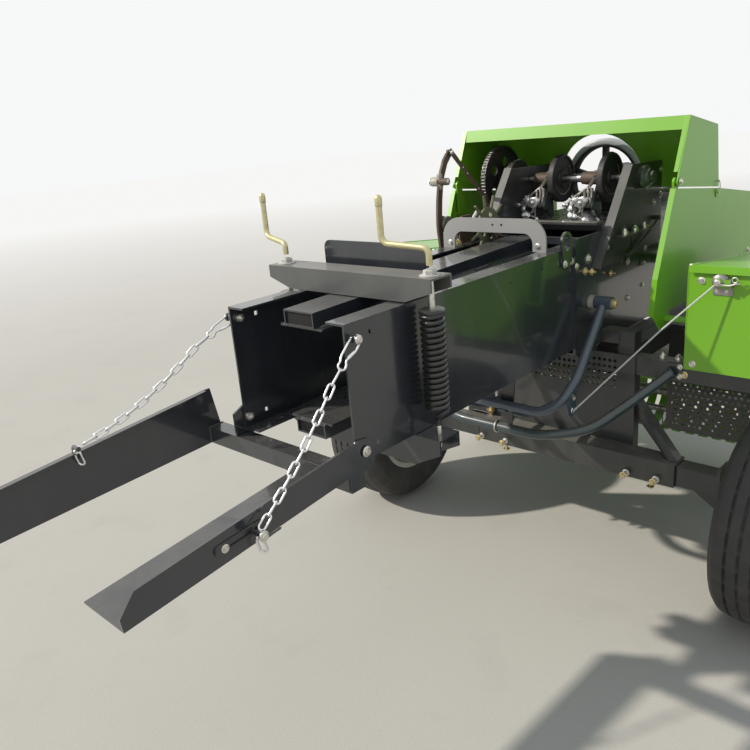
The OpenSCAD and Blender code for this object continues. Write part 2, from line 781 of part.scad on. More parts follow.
// Road wheels: tyre with rounded shoulders, dished rim on a hub
rim_r = 205;
module tyre_profile() {
    polygon([[rim_r - 2, -105], [tyre_r * 0.72, -tyre_w / 2 + 4], [tyre_r * 0.82, -tyre_w / 2],
        [tyre_r * 0.92, -tyre_w / 2 + 9], [tyre_r - 6, -tyre_w * 0.4], [tyre_r, -tyre_w * 0.22],
        [tyre_r, tyre_w * 0.22], [tyre_r - 6, tyre_w * 0.4], [tyre_r * 0.92, tyre_w / 2 - 9],
        [tyre_r * 0.82, tyre_w / 2], [tyre_r * 0.72, tyre_w / 2 - 4], [rim_r - 2, 105]]);
}
module rim_profile() {
    polygon([[rim_r - 2, -105], [rim_r + 14, -112], [rim_r + 14, -116], [rim_r - 8, -110],
        [rim_r - 14, -40], [rim_r - 20, 30], [150, 42], [70, 48], [70, 56], [150, 52], [rim_r - 14, 40],
        [rim_r - 8, 110], [rim_r + 14, 116], [rim_r + 14, 112], [rim_r - 2, 105]]);
}
module tyre_at(x) {
    translate([x, axle_y, tyre_r]) rotate([0, 90, 0]) rotate_extrude($fn = 48) tyre_profile();
}
module rim_at(side, x) {
    translate([x, axle_y, tyre_r]) scale([side, 1, 1]) rotate([0, 90, 0]) difference() {
        union() {
            rotate_extrude($fn = 48) rim_profile();
            translate([0, 0, -60]) cylinder(r = 52, h = 132);
            translate([0, 0, 40]) cylinder(r = 90, h = 14);
            for (i = [0 : 4]) rotate(72 * i) translate([66, 0, 50]) cylinder(r = 9, h = 14, $fn = 6);
        }
        translate([0, 0, -70]) cylinder(r = 22 + run, h = 95);
    }
}
module tyre_left() {
    color("#26272a") shifted() tyre_at(-left_track);
}
module tyre_right() {
    color("#26272a") shifted() tyre_at(right_track);
}
module rim_left() {
    color("#d8d6cf") shifted() rim_at(-1, -left_track);
}
module rim_right() {
    color("#d8d6cf") shifted() rim_at(1, right_track);
}

// Bale chute: cross tube, tall left arm, right arm with an inner shelf, hinge ears
arm_in = half + 1;
arm_out = half + 8;
left_arm = -392;
// heights of the right arm's lower edge
function arm_low(y) = 863 + (y + 709) * (932 - 863) / (709 - 35);
GUSSETS = [-655, -494, -331, -166];
module chute_ear(outline) {
    difference() {
        side_sheet(arm_in, arm_out, outline);
        bar_x(half - 20, half + 20, chute_hinge[0], chute_hinge[1], 8 + run);
    }
}
module chute() {
    color("#2f3336") shifted() {
        difference() {
            block([left_arm, -35, 884], [arm_in, 18, 937]);
            block([left_arm - 1, -30, 889], [arm_in + 1, 13, 932]);
        }
        chute_ear([[18, 884], [-35, 884], [-35, 932], [-709, 863], [-712, 896], [-671, 943], [8, 1022],
            [44, 1016], [62, 1000], [62, 930], [18, 930]]);
        mirror([1, 0, 0]) chute_ear([[18, 884], [-35, 884], [-35, 1010], [8, 1030], [44, 1016], [62, 1000],
            [62, 930], [18, 930]]);
        side_sheet(left_arm, left_arm + 6, [[-30, 884], [18, 884], [-12, 1062], [-30, 1062],
            [rear_tip, 995], [rear_tip, 850]]);
        side_sheet(left_arm + 6, left_arm + 20, [[-35, 1058], [-35, 1062], [rear_tip, 995],
            [rear_tip, 991]]);
        side_sheet(76, arm_in, [[-35, 932], [-709, 863], [-709, 867], [-35, 936]]);
        for (y = GUSSETS) cross_form(y - 3, y + 3)
            polygon([[arm_in, arm_low(y) + 4], [arm_in, arm_low(y) + 46], [arm_in - 60, arm_low(y) + 4]]);
        // hook pins of the chains
        bar_x(arm_out, 290, -366, 936, 7);
        bar_x(290, 294, -366, 936, 12);
        bar_x(left_arm + 6, left_arm + 34, -470, 1034, 7);
        block([left_arm + 6, -478, 1000], [left_arm + 14, -462, 1034]);
    }
}

// Chains: an eye on the chamber's bolt, then links threaded at right angles. The links
// lie one pitch apart along a sagging curve.
link_w = 24;
link_wire = 3.5;
link_gap = 0.3;
module link(pitch) {
    bend = link_w / 2 - link_wire;
    straight = (pitch + link_gap) / 2 + link_wire - bend;
    looped(concat(
        [for (a = [90 : -45 : -90]) [bend * sin(a), 0, straight + bend * cos(a)]],
        [for (a = [90 : -45 : -90]) [-bend * sin(a), 0, -straight - bend * cos(a)]]), link_wire, 5);
}
function slack(a, b, sag, t) = a + (b - a) * t - [0, 0, sag * 4 * t * (1 - t)];
function total(v) = v * [for (x = v) 1];
function run_length(a, b, sag) =
    total([for (i = [0 : 39]) norm(slack(a, b, sag, (i + 1) / 40) - slack(a, b, sag, i / 40))]);
// The share of the curve one pitch after t, a guess made better a few times
function after(a, b, sag, t, pitch, guess, tries) = tries == 0 ? guess : after(a, b, sag, t, pitch,
    t + (guess - t) * pitch / norm(slack(a, b, sag, guess) - slack(a, b, sag, t)), tries - 1);
module chain(a, b, sag, links) {
    pitch = run_length(a, b, sag) / links;
    ends = [for (i = 0, t = 0; i <= links; i = i + 1, t = after(a, b, sag, t, pitch, t + 1 / links, 4))
        slack(a, b, sag, t)];
    for (i = [0 : links - 1]) {
        d = ends[i + 1] - ends[i];
        translate((ends[i] + ends[i + 1]) / 2) rotate([0, acos(d[2] / norm(d)), atan2(d[1], d[0])])
            rotate([0, 0, i % 2 == 0 ? 90 : 0]) link(pitch);
    }
}
// the eyes hang far enough out for the links to pass beside the chute's arm
eye_in = half + 18;
eye_out = eye_in + 7;
chain_x = (eye_in + eye_out) / 2;
chain_top = chain_bolt + [-26, -44];
module chain_eye() {
    difference() {
        side_form(eye_in, eye_out) hull() {
            translate(chain_bolt) circle(16);
            translate(chain_top) circle(11);
        }
        bar_x(half, eye_out + 5, chain_bolt[0], chain_bolt[1], 6 + run);
        side_form(eye_in - 1, eye_out + 1) hull() {
            translate(chain_bolt + [-16, -28]) circle(5);
            translate(chain_top) circle(link_wire + 0.6);
        }
    }
}
// From the hole of the eye to a foot near the chute's hook pin
module hung_chain(side, foot, sag, links) {
    top = [side * chain_x, chain_top[0], chain_top[1]];
    chain(top - (link_wire + link_gap / 2) * unit(top - foot + [0, 0, 4 * sag]), foot, sag, links);
}
module chain_right() {
    color("#c9cbc9") shifted() {
        chain_eye();
        hung_chain(1, [272, -344, 950], 20, 13);
    }
}
module chain_left() {
    color("#c9cbc9") shifted() {
        mirror([1, 0, 0]) chain_eye();
        hung_chain(-1, [-360, -450, 1044], 30, 14);
    }
}

// Gearbox on the front of the case, its tail shaft carries the flywheel
fly_c = [-20, 1942, 1493];
fly_r = 180;
module gearbox() {
    color("#34393b") shifted() {
        block([-150, 2090, case_top], [110, 2430, 1424]);
        for (x = [-120, -20, 80]) block([x - 5, 2430, case_top], [x + 5, 2446, 1410]);
        bar_y(2004, 2150, fly_c[0], fly_c[2], 62);
        bar_y(2150, 2170, fly_c[0], fly_c[2], 48);
        block([fly_c[0] - 62, 2010, case_top], [fly_c[0] + 62, 2150, fly_c[2]]);
        bar_y(1910, 2010, fly_c[0], fly_c[2], 20);
        block([-140, case_front, 1020], [140, 2640, 1340]);
        bar_y(2640, 2700, 0, 1180, 60);
    }
}
module flywheel() {
    color("#1d1f22") shifted() difference() {
        union() {
            difference() {
                bar_y(fly_c[1] - 18, fly_c[1] + 18, fly_c[0], fly_c[2], fly_r, $fn = 64);
                bar_y(fly_c[1] - 20, fly_c[1] + 20, fly_c[0], fly_c[2], fly_r - 34, $fn = 64);
            }
            for (i = [0 : 4]) translate(fly_c) rotate([0, 72 * i, 0])
                block([-13, -9, 20], [13, 9, fly_r - 30]);
            bar_y(fly_c[1] - 18, fly_c[1] + 48, fly_c[0], fly_c[2], 36);
        }
        bar_y(fly_c[1] - 30, fly_c[1] + 60, fly_c[0], fly_c[2], 20 + run);
    }
}
shaft_from = [2732, 1162];
shaft_to = [3330, 762];
module drive_shaft() {
    d = shaft_to - shaft_from;
    color("#d9a520") shifted() {
        bar_y(2700, 2744, 0, 1180, 34);
        translate([0, shaft_from[0], shaft_from[1]]) rotate([-90 + atan2(d[1], d[0]), 0, 0]) {
            cylinder(r = guard_r, h = norm(d));
            translate([0, 0, norm(d)]) cylinder(r = 26, h = 34);
        }
    }
}

// Drawbar: two members converge to the tongue and the hitch clevis
clevis_z = 480;
tongue = 40;
rest_y = 3260;
shaft_fall = (shaft_from[1] - shaft_to[1]) / (shaft_to[0] - shaft_from[0]);
guard_r = 38;
function under_shaft(y) = shaft_from[1] - (y - shaft_from[0]) * shaft_fall
    - guard_r / cos(atan(shaft_fall)) - seat;
module drawbar() {
    color("#2d3133") shifted() {
        both_sides() hull() {
            block([262, 2700, 800], [322, 2704, 880]);
            block([0, 3200, 452], [60, 3204, 528]);
        }
        difference() {
            block([-tongue, 3150, clevis_z - 30], [tongue, hitch_y, clevis_z + 30]);
            block([-tongue - 10, 3420, clevis_z - 12], [tongue + 10, hitch_y + 10, clevis_z + 12]);
            bar_z(clevis_z - 80, clevis_z + 80, 0, hitch_y - 45, 16);
        }
        // rest under the drive shaft
        side_sheet(-8, 8, [[rest_y - 15, clevis_z + 20], [rest_y + 15, clevis_z + 20],
            [rest_y + 15, under_shaft(rest_y + 15)], [rest_y - 15, under_shaft(rest_y - 15)]]);
    }
}

// Parking jack on the tongue's left side
jack_x = -110;
jack_y = 3330;
leg_r = 28;
module jack_sleeve() {
    color("#33383a") shifted() {
        difference() {
            union() {
                bar_z(330, 860, jack_x, jack_y, leg_r + 6);
                block([-90, 3300, clevis_z - 28], [-tongue, 3360, clevis_z + 28]);
            }
            bar_z(320, 850, jack_x, jack_y, leg_r + run);
        }
        bar_z(860, 884, jack_x, jack_y, 12);
        block([jack_x - 12, jack_y - 12, 884], [jack_x + 12, jack_y + 150, 892]);
        bar_z(892, 970, jack_x, jack_y + 136, 10);
    }
}
module jack_leg() {
    color("#c8c8c4") shifted() {
        bar_z(8, 520, jack_x, jack_y, leg_r);
        bar_z(0, 8, jack_x, jack_y, 85);
    }
}

// Feeder case under the plunger case, with the lift pins of the pickup
reel_c = [2330, 400];
lift_pivot = [2080, 660];
feed_side = 256;
module feeder_case() {
    color("#2b2f31") shifted() {
        both_sides() {
            side_sheet(feed_side, feed_side + 6, [[1500, 925], [2330, 925], [2330, 760], [2130, 704],
                [2120, 635], [2040, 635], [2030, 676], [1900, 640], [1500, 760]]);
            bar_x(feed_side + 6, feed_side + 24, lift_pivot[0], lift_pivot[1], 12);
        }
        side_sheet(-feed_side, feed_side, [[1500, 766], [1900, 646], [2330, 766], [2330, 760], [1900, 640],
            [1500, 760]]);
    }
}

// Pickup: side plates, cross tube with lift lugs, and stripper bands round the reel
band_r = 212;
tine_gap = (2 * pickup_half - 120) / (tines - 1);
function tine_x(i) = -pickup_half + 60 + i * tine_gap;
module band() {
    difference() {
        union() {
            difference() {
                translate(reel_c) circle(band_r);
                translate([reel_c[0] - 260, reel_c[1] - 260]) square([260, 520]);
            }
            polygon([[2118, 604], reel_c + [1, band_r], reel_c + [1, band_r - 12], [2118, 590]]);
        }
        translate(reel_c) circle(band_r - 6);
    }
}
module pickup_frame() {
    color("#61991e") shifted() {
        both_sides() {
            difference() {
                side_sheet(pickup_half, pickup_half + 6, [[1930, 700], [2200, 720], [2560, 600],
                    [2640, 420], [2560, 200], [2150, 150], [1930, 420]]);
                bar_x(pickup_half - 5, pickup_half + 10, reel_c[0], reel_c[1], 25 + run);
            }
            bar_x(pickup_half + 4, gauge_c[0] + 36, gauge_c[1], gauge_c[2], gauge_axle);
            difference() {
                side_sheet(feed_side + 10, feed_side + 18, [[2040, 600], [2120, 600], [2110, 694],
                    [2050, 694]]);
                bar_x(250, 300, lift_pivot[0], lift_pivot[1], 12 + run);
            }
        }
        block([-pickup_half, 2040, 560], [pickup_half, 2120, 620]);
        for (i = [0 : tines - 2]) side_form(tine_x(i) + 11.5, tine_x(i + 1) - 11.5) band();
    }
}

// Tined reel: shaft, end discs, tine bars and tines
module tine_bar() {
    bar_x(-pickup_half + 10, pickup_half - 10, 130, 0, 12);
    for (i = [0 : tines - 1]) translate([tine_x(i), 130, 0])
        rotate([-90, 0, 0]) cylinder(r = 3.5, h = 110, $fn = 6);
}
module pickup_reel() {
    color("#8c9092") shifted() {
        bar_x(-pickup_half - 5, pickup_half + 5, reel_c[0], reel_c[1], 25);
        for (b = [0 : tine_bars - 1]) translate([0, reel_c[0], reel_c[1]])
            rotate([360 * b / tine_bars + 20, 0, 0]) tine_bar();
        both_sides() bar_x(pickup_half - 14, pickup_half - 6, reel_c[0], reel_c[1], 145);
    }
}

// Gauge wheels at the pickup's sides
gauge_c = [pickup_half + 70, 2150, 210];
gauge_axle = 12;
module gauge_wheel() {
    difference() {
        union() {
            translate(gauge_c) rotate([0, 90, 0]) rotate_extrude($fn = 40)
                polygon([[40, -30], [150, -36], [172, -28], [180, -10], [180, 10], [172, 28], [150, 36],
                    [40, 30]]);
            bar_x(gauge_c[0] - 34, gauge_c[0] + 34, gauge_c[1], gauge_c[2], 44);
        }
        bar_x(gauge_c[0] - 50, gauge_c[0] + 50, gauge_c[1], gauge_c[2], gauge_axle + run);
    }
}
module gauge_wheel_left() {
    color("#26272a") shifted() mirror([1, 0, 0]) gauge_wheel();
}
module gauge_wheel_right() {
    color("#26272a") shifted() gauge_wheel();
}

bale_chamber();
upper_rail();
lower_rail();
upper_beam();
lower_beam();
tension_springs();
crank_handles();
rail_stop();
arch_plate();
star_wheel();
trip_arm();
plunger_case();
plunger();
knotter_frame();
knotters();
knotter_drive();
needle_yoke();
yoke_guard();
hood_sides();
hood_lid();
twine_box_right();
twine_box_left();
twine_lid_right();
twine_lid_left();
twine();
main_frame();
axle_stubs();
tyre_left();
tyre_right();
rim_left();
rim_right();
chute();
chain_right();
chain_left();
gearbox();
flywheel();
drive_shaft();
drawbar();
jack_sleeve();
jack_leg();
feeder_case();
pickup_frame();
pickup_reel();
gauge_wheel_left();
gauge_wheel_right();
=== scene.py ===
"""Looks of the square baler: paint, castings, rubber, chain and all the small hardware.

Places are written in millimetres, as in the CAD source: x from the bale chamber's middle,
y from the chamber's rear end, z from the ground. row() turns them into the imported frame.
"""

import json
import math

import bmesh
import bpy
import numpy as np
from mathutils import Matrix, Vector


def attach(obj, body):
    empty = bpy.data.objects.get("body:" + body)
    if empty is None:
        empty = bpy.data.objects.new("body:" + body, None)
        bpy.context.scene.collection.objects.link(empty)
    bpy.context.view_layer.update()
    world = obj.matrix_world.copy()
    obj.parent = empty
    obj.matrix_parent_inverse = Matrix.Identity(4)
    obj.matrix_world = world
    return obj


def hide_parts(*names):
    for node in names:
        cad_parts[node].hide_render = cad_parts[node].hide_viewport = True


bl_info = {
    "name": "Square baler",
    "version": (1, 0, 0),
    "blender": (4, 5, 0),
    "location": "3D View > Sidebar > Baler",
    "description": "Dresses the packed square baler with finishes and small hardware",
    "category": "Object",
}

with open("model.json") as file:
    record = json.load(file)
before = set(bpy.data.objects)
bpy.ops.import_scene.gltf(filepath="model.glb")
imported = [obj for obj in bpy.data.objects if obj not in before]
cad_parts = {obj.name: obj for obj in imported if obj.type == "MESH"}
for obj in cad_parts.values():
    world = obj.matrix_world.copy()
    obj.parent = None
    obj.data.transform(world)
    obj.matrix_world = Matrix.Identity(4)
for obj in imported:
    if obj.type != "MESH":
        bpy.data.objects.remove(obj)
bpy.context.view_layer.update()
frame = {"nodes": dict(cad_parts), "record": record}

MM = 0.001
SHIFT = np.array([-48.0, -1412.5, 0.0])
X, Y, Z = np.eye(3)


# ---------------------------------------------------------------- places and surfaces


def row(points):
    """Millimetre places of the source, moved to the middle of the machine, in metres."""
    return (np.asarray(points, float) + SHIFT) * MM


def unit(v):
    """Each vector divided by its own length."""
    v = np.asarray(v, float)
    return v / np.maximum(np.linalg.norm(v, axis=-1, keepdims=True), 1e-12)


def side_of(axis):
    """A unit vector square to an axis, and the third one square to both."""
    axis = unit(axis)
    spare = X if abs(axis[2]) > 0.9 else Z
    first = unit(np.cross(axis, spare))
    return first, np.cross(axis, first)


class Shape:
    """Corner places, with four-sided and three-sided faces as whole arrays and many-sided ones
    as lists."""

    def __init__(self, v, q=(), t=(), f=()):
        self.v = np.asarray(v, float).reshape(-1, 3)
        self.q = np.asarray(q, int).reshape(-1, 4)
        self.t = np.asarray(t, int).reshape(-1, 3)
        self.f = [list(face) for face in f]

    def at(self, places, axes=Z, spins=0.0, scales=1.0):
        """Copies of a shape drawn about the origin along +Z: each copy is scaled, spun about
        its own axis, turned to that axis and moved to its place, all copies at once."""
        places = np.atleast_2d(np.asarray(places, float))
        n = len(places)
        axes = unit(np.broadcast_to(np.asarray(axes, float), (n, 3)))
        spins = np.broadcast_to(np.asarray(spins, float), (n,))
        scales = np.broadcast_to(np.asarray(scales, float).reshape(-1, 1), (n, 1))
        spare = np.where(np.abs(axes[:, 2:]) > 0.9, X, Z)
        a = unit(np.cross(spare, axes))
        b = np.cross(axes, a)
        c, s = np.cos(spins)[:, None], np.sin(spins)[:, None]
        turn = np.stack([a * c + b * s, b * c - a * s, axes], axis=1)
        v = np.einsum("vk,nkj->nvj", self.v, turn) * scales[:, None] + places[:, None]
        step = (np.arange(n) * len(self.v))[:, None, None]
        f = [[corner + k for corner in face] for k in step.ravel().tolist() for face in self.f]
        return Shape(v, self.q[None] + step, self.t[None] + step, f)


def joined(*shapes):
    """Several shapes as one, each one's faces counted on from the last."""
    start = np.cumsum([0] + [len(s.v) for s in shapes[:-1]]).tolist()
    return Shape(
        np.concatenate([s.v for s in shapes]),
        np.concatenate([s.q + k for s, k in zip(shapes, start)]),
        np.concatenate([s.t + k for s, k in zip(shapes, start)]),
        [[corner + k for corner in face] for s, k in zip(shapes, start) for face in s.f],
    )


def grid_faces(rows, columns, wrap_rows=False):
    """Faces of a grid of rows by columns whose rows close on themselves: each takes a corner,
    its neighbour in the row, and the same two in the next row."""
    i = np.arange(rows if wrap_rows else rows - 1)[:, None]
    j = np.arange(columns)[None]
    k, m = (i + 1) % rows, (j + 1) % columns
    return np.stack([i * columns + j, i * columns + m, k * columns + m, k * columns + j], -1).reshape(-1, 4)


def tube(path, radius, sides=16, ref=None, closed=False, squash=(1.0, 1.0)):
    """Round bar along a path: each ring is its path place plus radius times cosine of the
    angle along one side vector and sine along the other, both square to the way."""
    path = np.asarray(path, float)
    n = len(path)
    ends = (np.roll(path, -1, 0) - np.roll(path, 1, 0)) if closed else np.gradient(path, axis=0)
    way = unit(ends)
    if ref is None:
        ref = np.eye(3)[np.argmin(np.abs(way).max(0))]
    u = unit(np.cross(way, np.broadcast_to(ref, way.shape)))
    v = np.cross(way, u)
    a = np.linspace(0, 2 * np.pi, sides, endpoint=False)
    r = np.broadcast_to(np.asarray(radius, float), (n,))[:, None, None]
    c, s = squash[0] * np.cos(a)[:, None], squash[1] * np.sin(a)[:, None]
    rings = path[:, None] + r * (c * u[:, None] + s * v[:, None])
    q = grid_faces(n, sides, wrap_rows=closed)
    if closed:
        return Shape(rings, q)
    j = np.arange(sides)
    k = (j + 1) % sides
    first, last = n * sides, n * sides + 1
    t = np.concatenate([
        np.stack([k, j, np.full(sides, first)], -1),
        np.stack([(n - 1) * sides + j, (n - 1) * sides + k, np.full(sides, last)], -1),
    ])
    return Shape(np.concatenate([rings.reshape(-1, 3), path[[0, -1]]]), q, t)


def turned(profile, sides=32):
    """A profile of radius and height pairs turned about +Z: x is radius times cosine of the
    angle, y is radius times sine, z is the height."""
    profile = np.asarray(profile, float)
    a = np.linspace(0, 2 * np.pi, sides, endpoint=False)
    r, h = profile[:, 0:1], profile[:, 1:2]
    v = np.stack([r * np.cos(a), r * np.sin(a), np.broadcast_to(h, (len(profile), sides))], -1)
    return Shape(v, grid_faces(len(profile), sides))


def plate(outline, low, high, axis):
    """Flat plate: its outline, pairs measured along the two axes square to the given one, is
    set at a low and a high distance along that one and joined by walls, with a face at each."""
    outline = np.asarray(outline, float)
    n = len(outline)
    a, b = (other for other in (X, Y, Z) if not other @ axis)
    flat = outline[:, :1] * a + outline[:, 1:] * b
    v = np.concatenate([flat + low * axis, flat + high * axis])
    j = np.arange(n)
    k = (j + 1) % n
    return Shape(v, np.stack([j, k, k + n, j + n], -1), (), (range(n - 1, -1, -1), range(n, 2 * n)))


def box_shape(low, high):
    """A plain block between two corners, for a piece whose edges are bevelled afterwards."""
    (x0, y0, z0), (x1, y1, z1) = low, high
    v = [(x, y, z) for x in (x0, x1) for y in (y0, y1) for z in (z0, z1)]
    q = [(0, 1, 3, 2), (4, 6, 7, 5), (0, 4, 5, 1), (2, 3, 7, 6), (0, 2, 6, 4), (1, 5, 7, 3)]
    return Shape(v, q)


def smooth_path(points, radius, steps=8):
    """A path whose corners are rounded: each corner becomes a curve that is the blend
    (1-t)^2 of its start, 2t(1-t) of the corner and t^2 of its end."""
    points = np.asarray(points, float)
    t = np.linspace(0, 1, steps)[:, None]
    parts = [points[:1]]
    for a, b, c in zip(points[:-2], points[1:-1], points[2:]):
        reach = min(radius, 0.45 * np.linalg.norm(a - b), 0.45 * np.linalg.norm(c - b))
        p, q = b + unit(a - b) * reach, b + unit(c - b) * reach
        parts.append((1 - t) ** 2 * p + 2 * t * (1 - t) * b + t ** 2 * q)
    return np.concatenate(parts + [points[-1:]])


def ring_path(centre, r, axis=Z, count=32, start=0.0, sweep=2 * np.pi):
    """Places round a circle: centre plus r times cosine and sine along two side vectors."""
    u, v = side_of(axis)
    whole = abs(sweep - 2 * np.pi) < 1e-6
    a = start + np.linspace(0, sweep, count, endpoint=not whole)[:, None]
    return np.asarray(centre, float) + r * (np.cos(a) * u + np.sin(a) * v)


# ---------------------------------------------------------------- pieces


def piece(name, shapes, finish_name, body="machine", bevel=0.0, smooth=40.0, replaces=()):
    """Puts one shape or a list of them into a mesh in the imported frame, closes it and turns its
    faces outwards, gives it its finish and lets it ride on its body."""
    shape = shapes if isinstance(shapes, Shape) else joined(*shapes)
    finish = FINISHES[finish_name]
    mesh = bpy.data.meshes.new(name)
    mesh.from_pydata(row(shape.v).tolist(), [], shape.q.tolist() + shape.t.tolist() + shape.f)
    work = bmesh.new()
    work.from_mesh(mesh)
    bmesh.ops.remove_doubles(work, verts=work.verts, dist=1e-6)
    bmesh.ops.dissolve_degenerate(work, edges=work.edges, dist=1e-7)
    bmesh.ops.recalc_face_normals(work, faces=work.faces)
    work.to_mesh(mesh)
    work.free()
    mesh.shade_smooth()
    mesh.set_sharp_from_angle(angle=math.radians(smooth))
    mesh.materials.append(finish.material)
    obj = bpy.data.objects.new(name, mesh)
    bpy.context.scene.collection.objects.link(obj)
    if bevel:
        m = obj.modifiers.new("edges", "BEVEL")
        m.width, m.segments, m.limit_method = bevel * MM, 2, "ANGLE"
        m.harden_normals = False
    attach(obj, body)
    if replaces:
        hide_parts(*replaces)
    return obj


# ---------------------------------------------------------------- finishes


class Sum:
    """A number or colour in a finish. An operator on it adds the Math node that works it out."""

    def __init__(self, finish, socket):
        self.finish, self.socket = finish, socket

    def _with(self, kind, other, swap=False):
        pair = (other, self) if swap else (self, other)
        return self.finish.node("ShaderNodeMath", {"operation": kind}, {0: pair[0], 1: pair[1]})[0]

    def __add__(self, other):
        return self._with("ADD", other)

    __radd__ = __add__

    def __mul__(self, other):
        return self._with("MULTIPLY", other)

    __rmul__ = __mul__

    def __sub__(self, other):
        return self._with("SUBTRACT", other)

    def __rsub__(self, other):
        return self._with("SUBTRACT", other, swap=True)

    def __truediv__(self, other):
        return self._with("DIVIDE", other)

    def __pow__(self, other):
        return self._with("POWER", other)

    def least(self, other):
        return self._with("MINIMUM", other)


class Finish:
    """One material: nodes come from node(), and numbers on them are written as sums."""

    def __init__(self, name, slot):
        self.slot = slot
        self.material = bpy.data.materials.new(name)
        self.material.use_nodes = True
        self.tree = self.material.node_tree
        self.shader = self.tree.nodes["Principled BSDF"]
        self.place = self.node("ShaderNodeTexCoord")["Object"]

    def node(self, kind, settings=None, inputs=None):
        """Adds a node, sets it, fills its sockets, and gives its outputs by number or name."""
        made = self.tree.nodes.new(kind)
        for key, value in (settings or {}).items():
            setattr(made, key, value)
        for key, value in (inputs or {}).items():
            self.feed(made.inputs[key], value)
        finish = self

        class Outputs:
            def __getitem__(self, key):
                return Sum(finish, made.outputs[key])

        outputs = Outputs()
        outputs.made = made
        return outputs

    def feed(self, socket, value):
        if isinstance(value, Sum):
            self.tree.links.new(value.socket, socket)
        elif isinstance(value, (tuple, list)) and len(value) == 3 and socket.type == "RGBA":
            socket.default_value = (*value, 1.0)
        else:
            socket.default_value = value

    def noise(self, scale, detail=3.0, rough=0.5, stretch=None, shift=(0, 0, 0)):
        """Cloudy value from 0 to 1, scale in cells a metre."""
        place = self.place
        if stretch or any(shift):
            place = self.node("ShaderNodeMapping", None,
                              {"Vector": place, "Scale": stretch or (1, 1, 1), "Location": shift})[0]
        return self.node("ShaderNodeTexNoise", None,
                         {"Vector": place, "Scale": scale, "Detail": detail, "Roughness": rough})["Fac"]

    def ramp(self, value, *stops):
        """Grey by value: two stops, each a place and a grey."""
        made = self.tree.nodes.new("ShaderNodeValToRGB")
        for element, (place, grey) in zip(made.color_ramp.elements, stops):
            element.position, element.color = place, (grey, grey, grey, 1.0)
        self.feed(made.inputs["Fac"], value)
        return Sum(self, made.outputs["Color"])

    def blend(self, low, high, share):
        """Colour between low and high by a share from 0 to 1."""
        made = self.tree.nodes.new("ShaderNodeMix")
        made.data_type, made.blend_type, made.clamp_factor = "RGBA", "MIX", True
        self.feed(made.inputs[0], share)
        self.feed(made.inputs[6], low)
        self.feed(made.inputs[7], high)
        return Sum(self, made.outputs[2])

    def facing(self, part="Z"):
        """How far a surface looks along one direction of the machine, from -1 to 1."""
        way = self.node("ShaderNodeTexCoord")["Normal"]
        return self.node("ShaderNodeSeparateXYZ", None, {0: way})[part]

    def coordinate(self, part):
        return self.node("ShaderNodeSeparateXYZ", None, {0: self.place})[part]

    def bumped(self, height, distance, strength=1.0, below=None):
        """Surface relief from a height of 0 to 1, distance in metres."""
        inputs = {"Height": height, "Distance": distance, "Strength": strength}
        if below is not None:
            inputs["Normal"] = below
        return self.node("ShaderNodeBump", None, inputs)[0]

    def surface(self, **sockets):
        for key, value in sockets.items():
            self.feed(self.shader.inputs[key.replace("_", " ")], value)
        return self


def paint(name, slot, colour, rough=0.3, dust=0.25, coat=0.3, peel=0.6, dust_colour=(0.42, 0.38, 0.31),
          fade=0.10):
    """Sprayed enamel: a slightly cloudy colour, an orange-peel skin, dust that gathers on
    faces that look up and in streaks, and fine scuffs that take the gloss down."""
    f = Finish(name, slot)
    cloud = f.noise(5.0, 4.0)
    fine = f.noise(60.0, 3.0)
    tone = f.blend([c * (1 - fade) for c in colour], [min(1, c * (1 + fade)) for c in colour], cloud)
    up = (f.facing() * 0.5 + 0.5) ** 3.0
    streak = f.noise(9.0, 5.0, 0.6, stretch=(1.0, 1.0, 0.25))
    settled = f.ramp(up * (0.35 + 0.9 * streak) + 0.12 * fine, (0.25, 0.0), (0.95, 1.0))
    specks = f.ramp(f.noise(420.0, 1.0), (0.66, 0.0), (0.74, 1.0))
    veil = (settled * dust + specks * (dust * 0.22) + f.ramp(streak, (0.45, 0.0), (0.8, 1.0)) * (dust * 0.25))
    scuff = f.ramp(f.noise(28.0, 8.0, 0.7, stretch=(1.0, 0.35, 1.0)), (0.58, 0.0), (0.72, 1.0))
    skin = f.bumped(f.noise(330.0, 1.0), 0.00022 * peel, 0.35)
    grit = f.bumped(specks, 0.0002, 0.3 * dust, below=skin)
    f.surface(Base_Color=f.blend(tone, dust_colour, veil.least(0.85)),
              Roughness=(rough + veil * 0.5 + scuff * 0.10).least(0.95), Normal=grit)
    f.surface(Coat_Weight=coat, Coat_Roughness=0.06)
    return f


RUST = (0.16, 0.075, 0.035)


def cast(name, slot, colour, rust=0.3, rough=0.62, grain=0.0007, metal=0.15):
    """Sand-cast iron: a lumpy grainy skin, rust in patches and darker pits."""
    f = Finish(name, slot)
    lump = f.noise(90.0, 4.0, 0.6)
    grainy = f.noise(650.0, 2.0)
    patch = f.ramp(f.noise(22.0, 6.0, 0.65), (0.45, 0.0), (0.68, 1.0))
    tone = f.blend([c * 0.7 for c in colour], [min(1, c * 1.25) for c in colour], lump)
    bump = f.bumped(grainy, grain * 0.5, 0.7, below=f.bumped(lump, grain * 2, 0.5))
    f.surface(Base_Color=f.blend(tone, RUST, patch * rust), Metallic=metal, Normal=bump,
              Roughness=rough + lump * 0.15 + patch * 0.1)
    return f


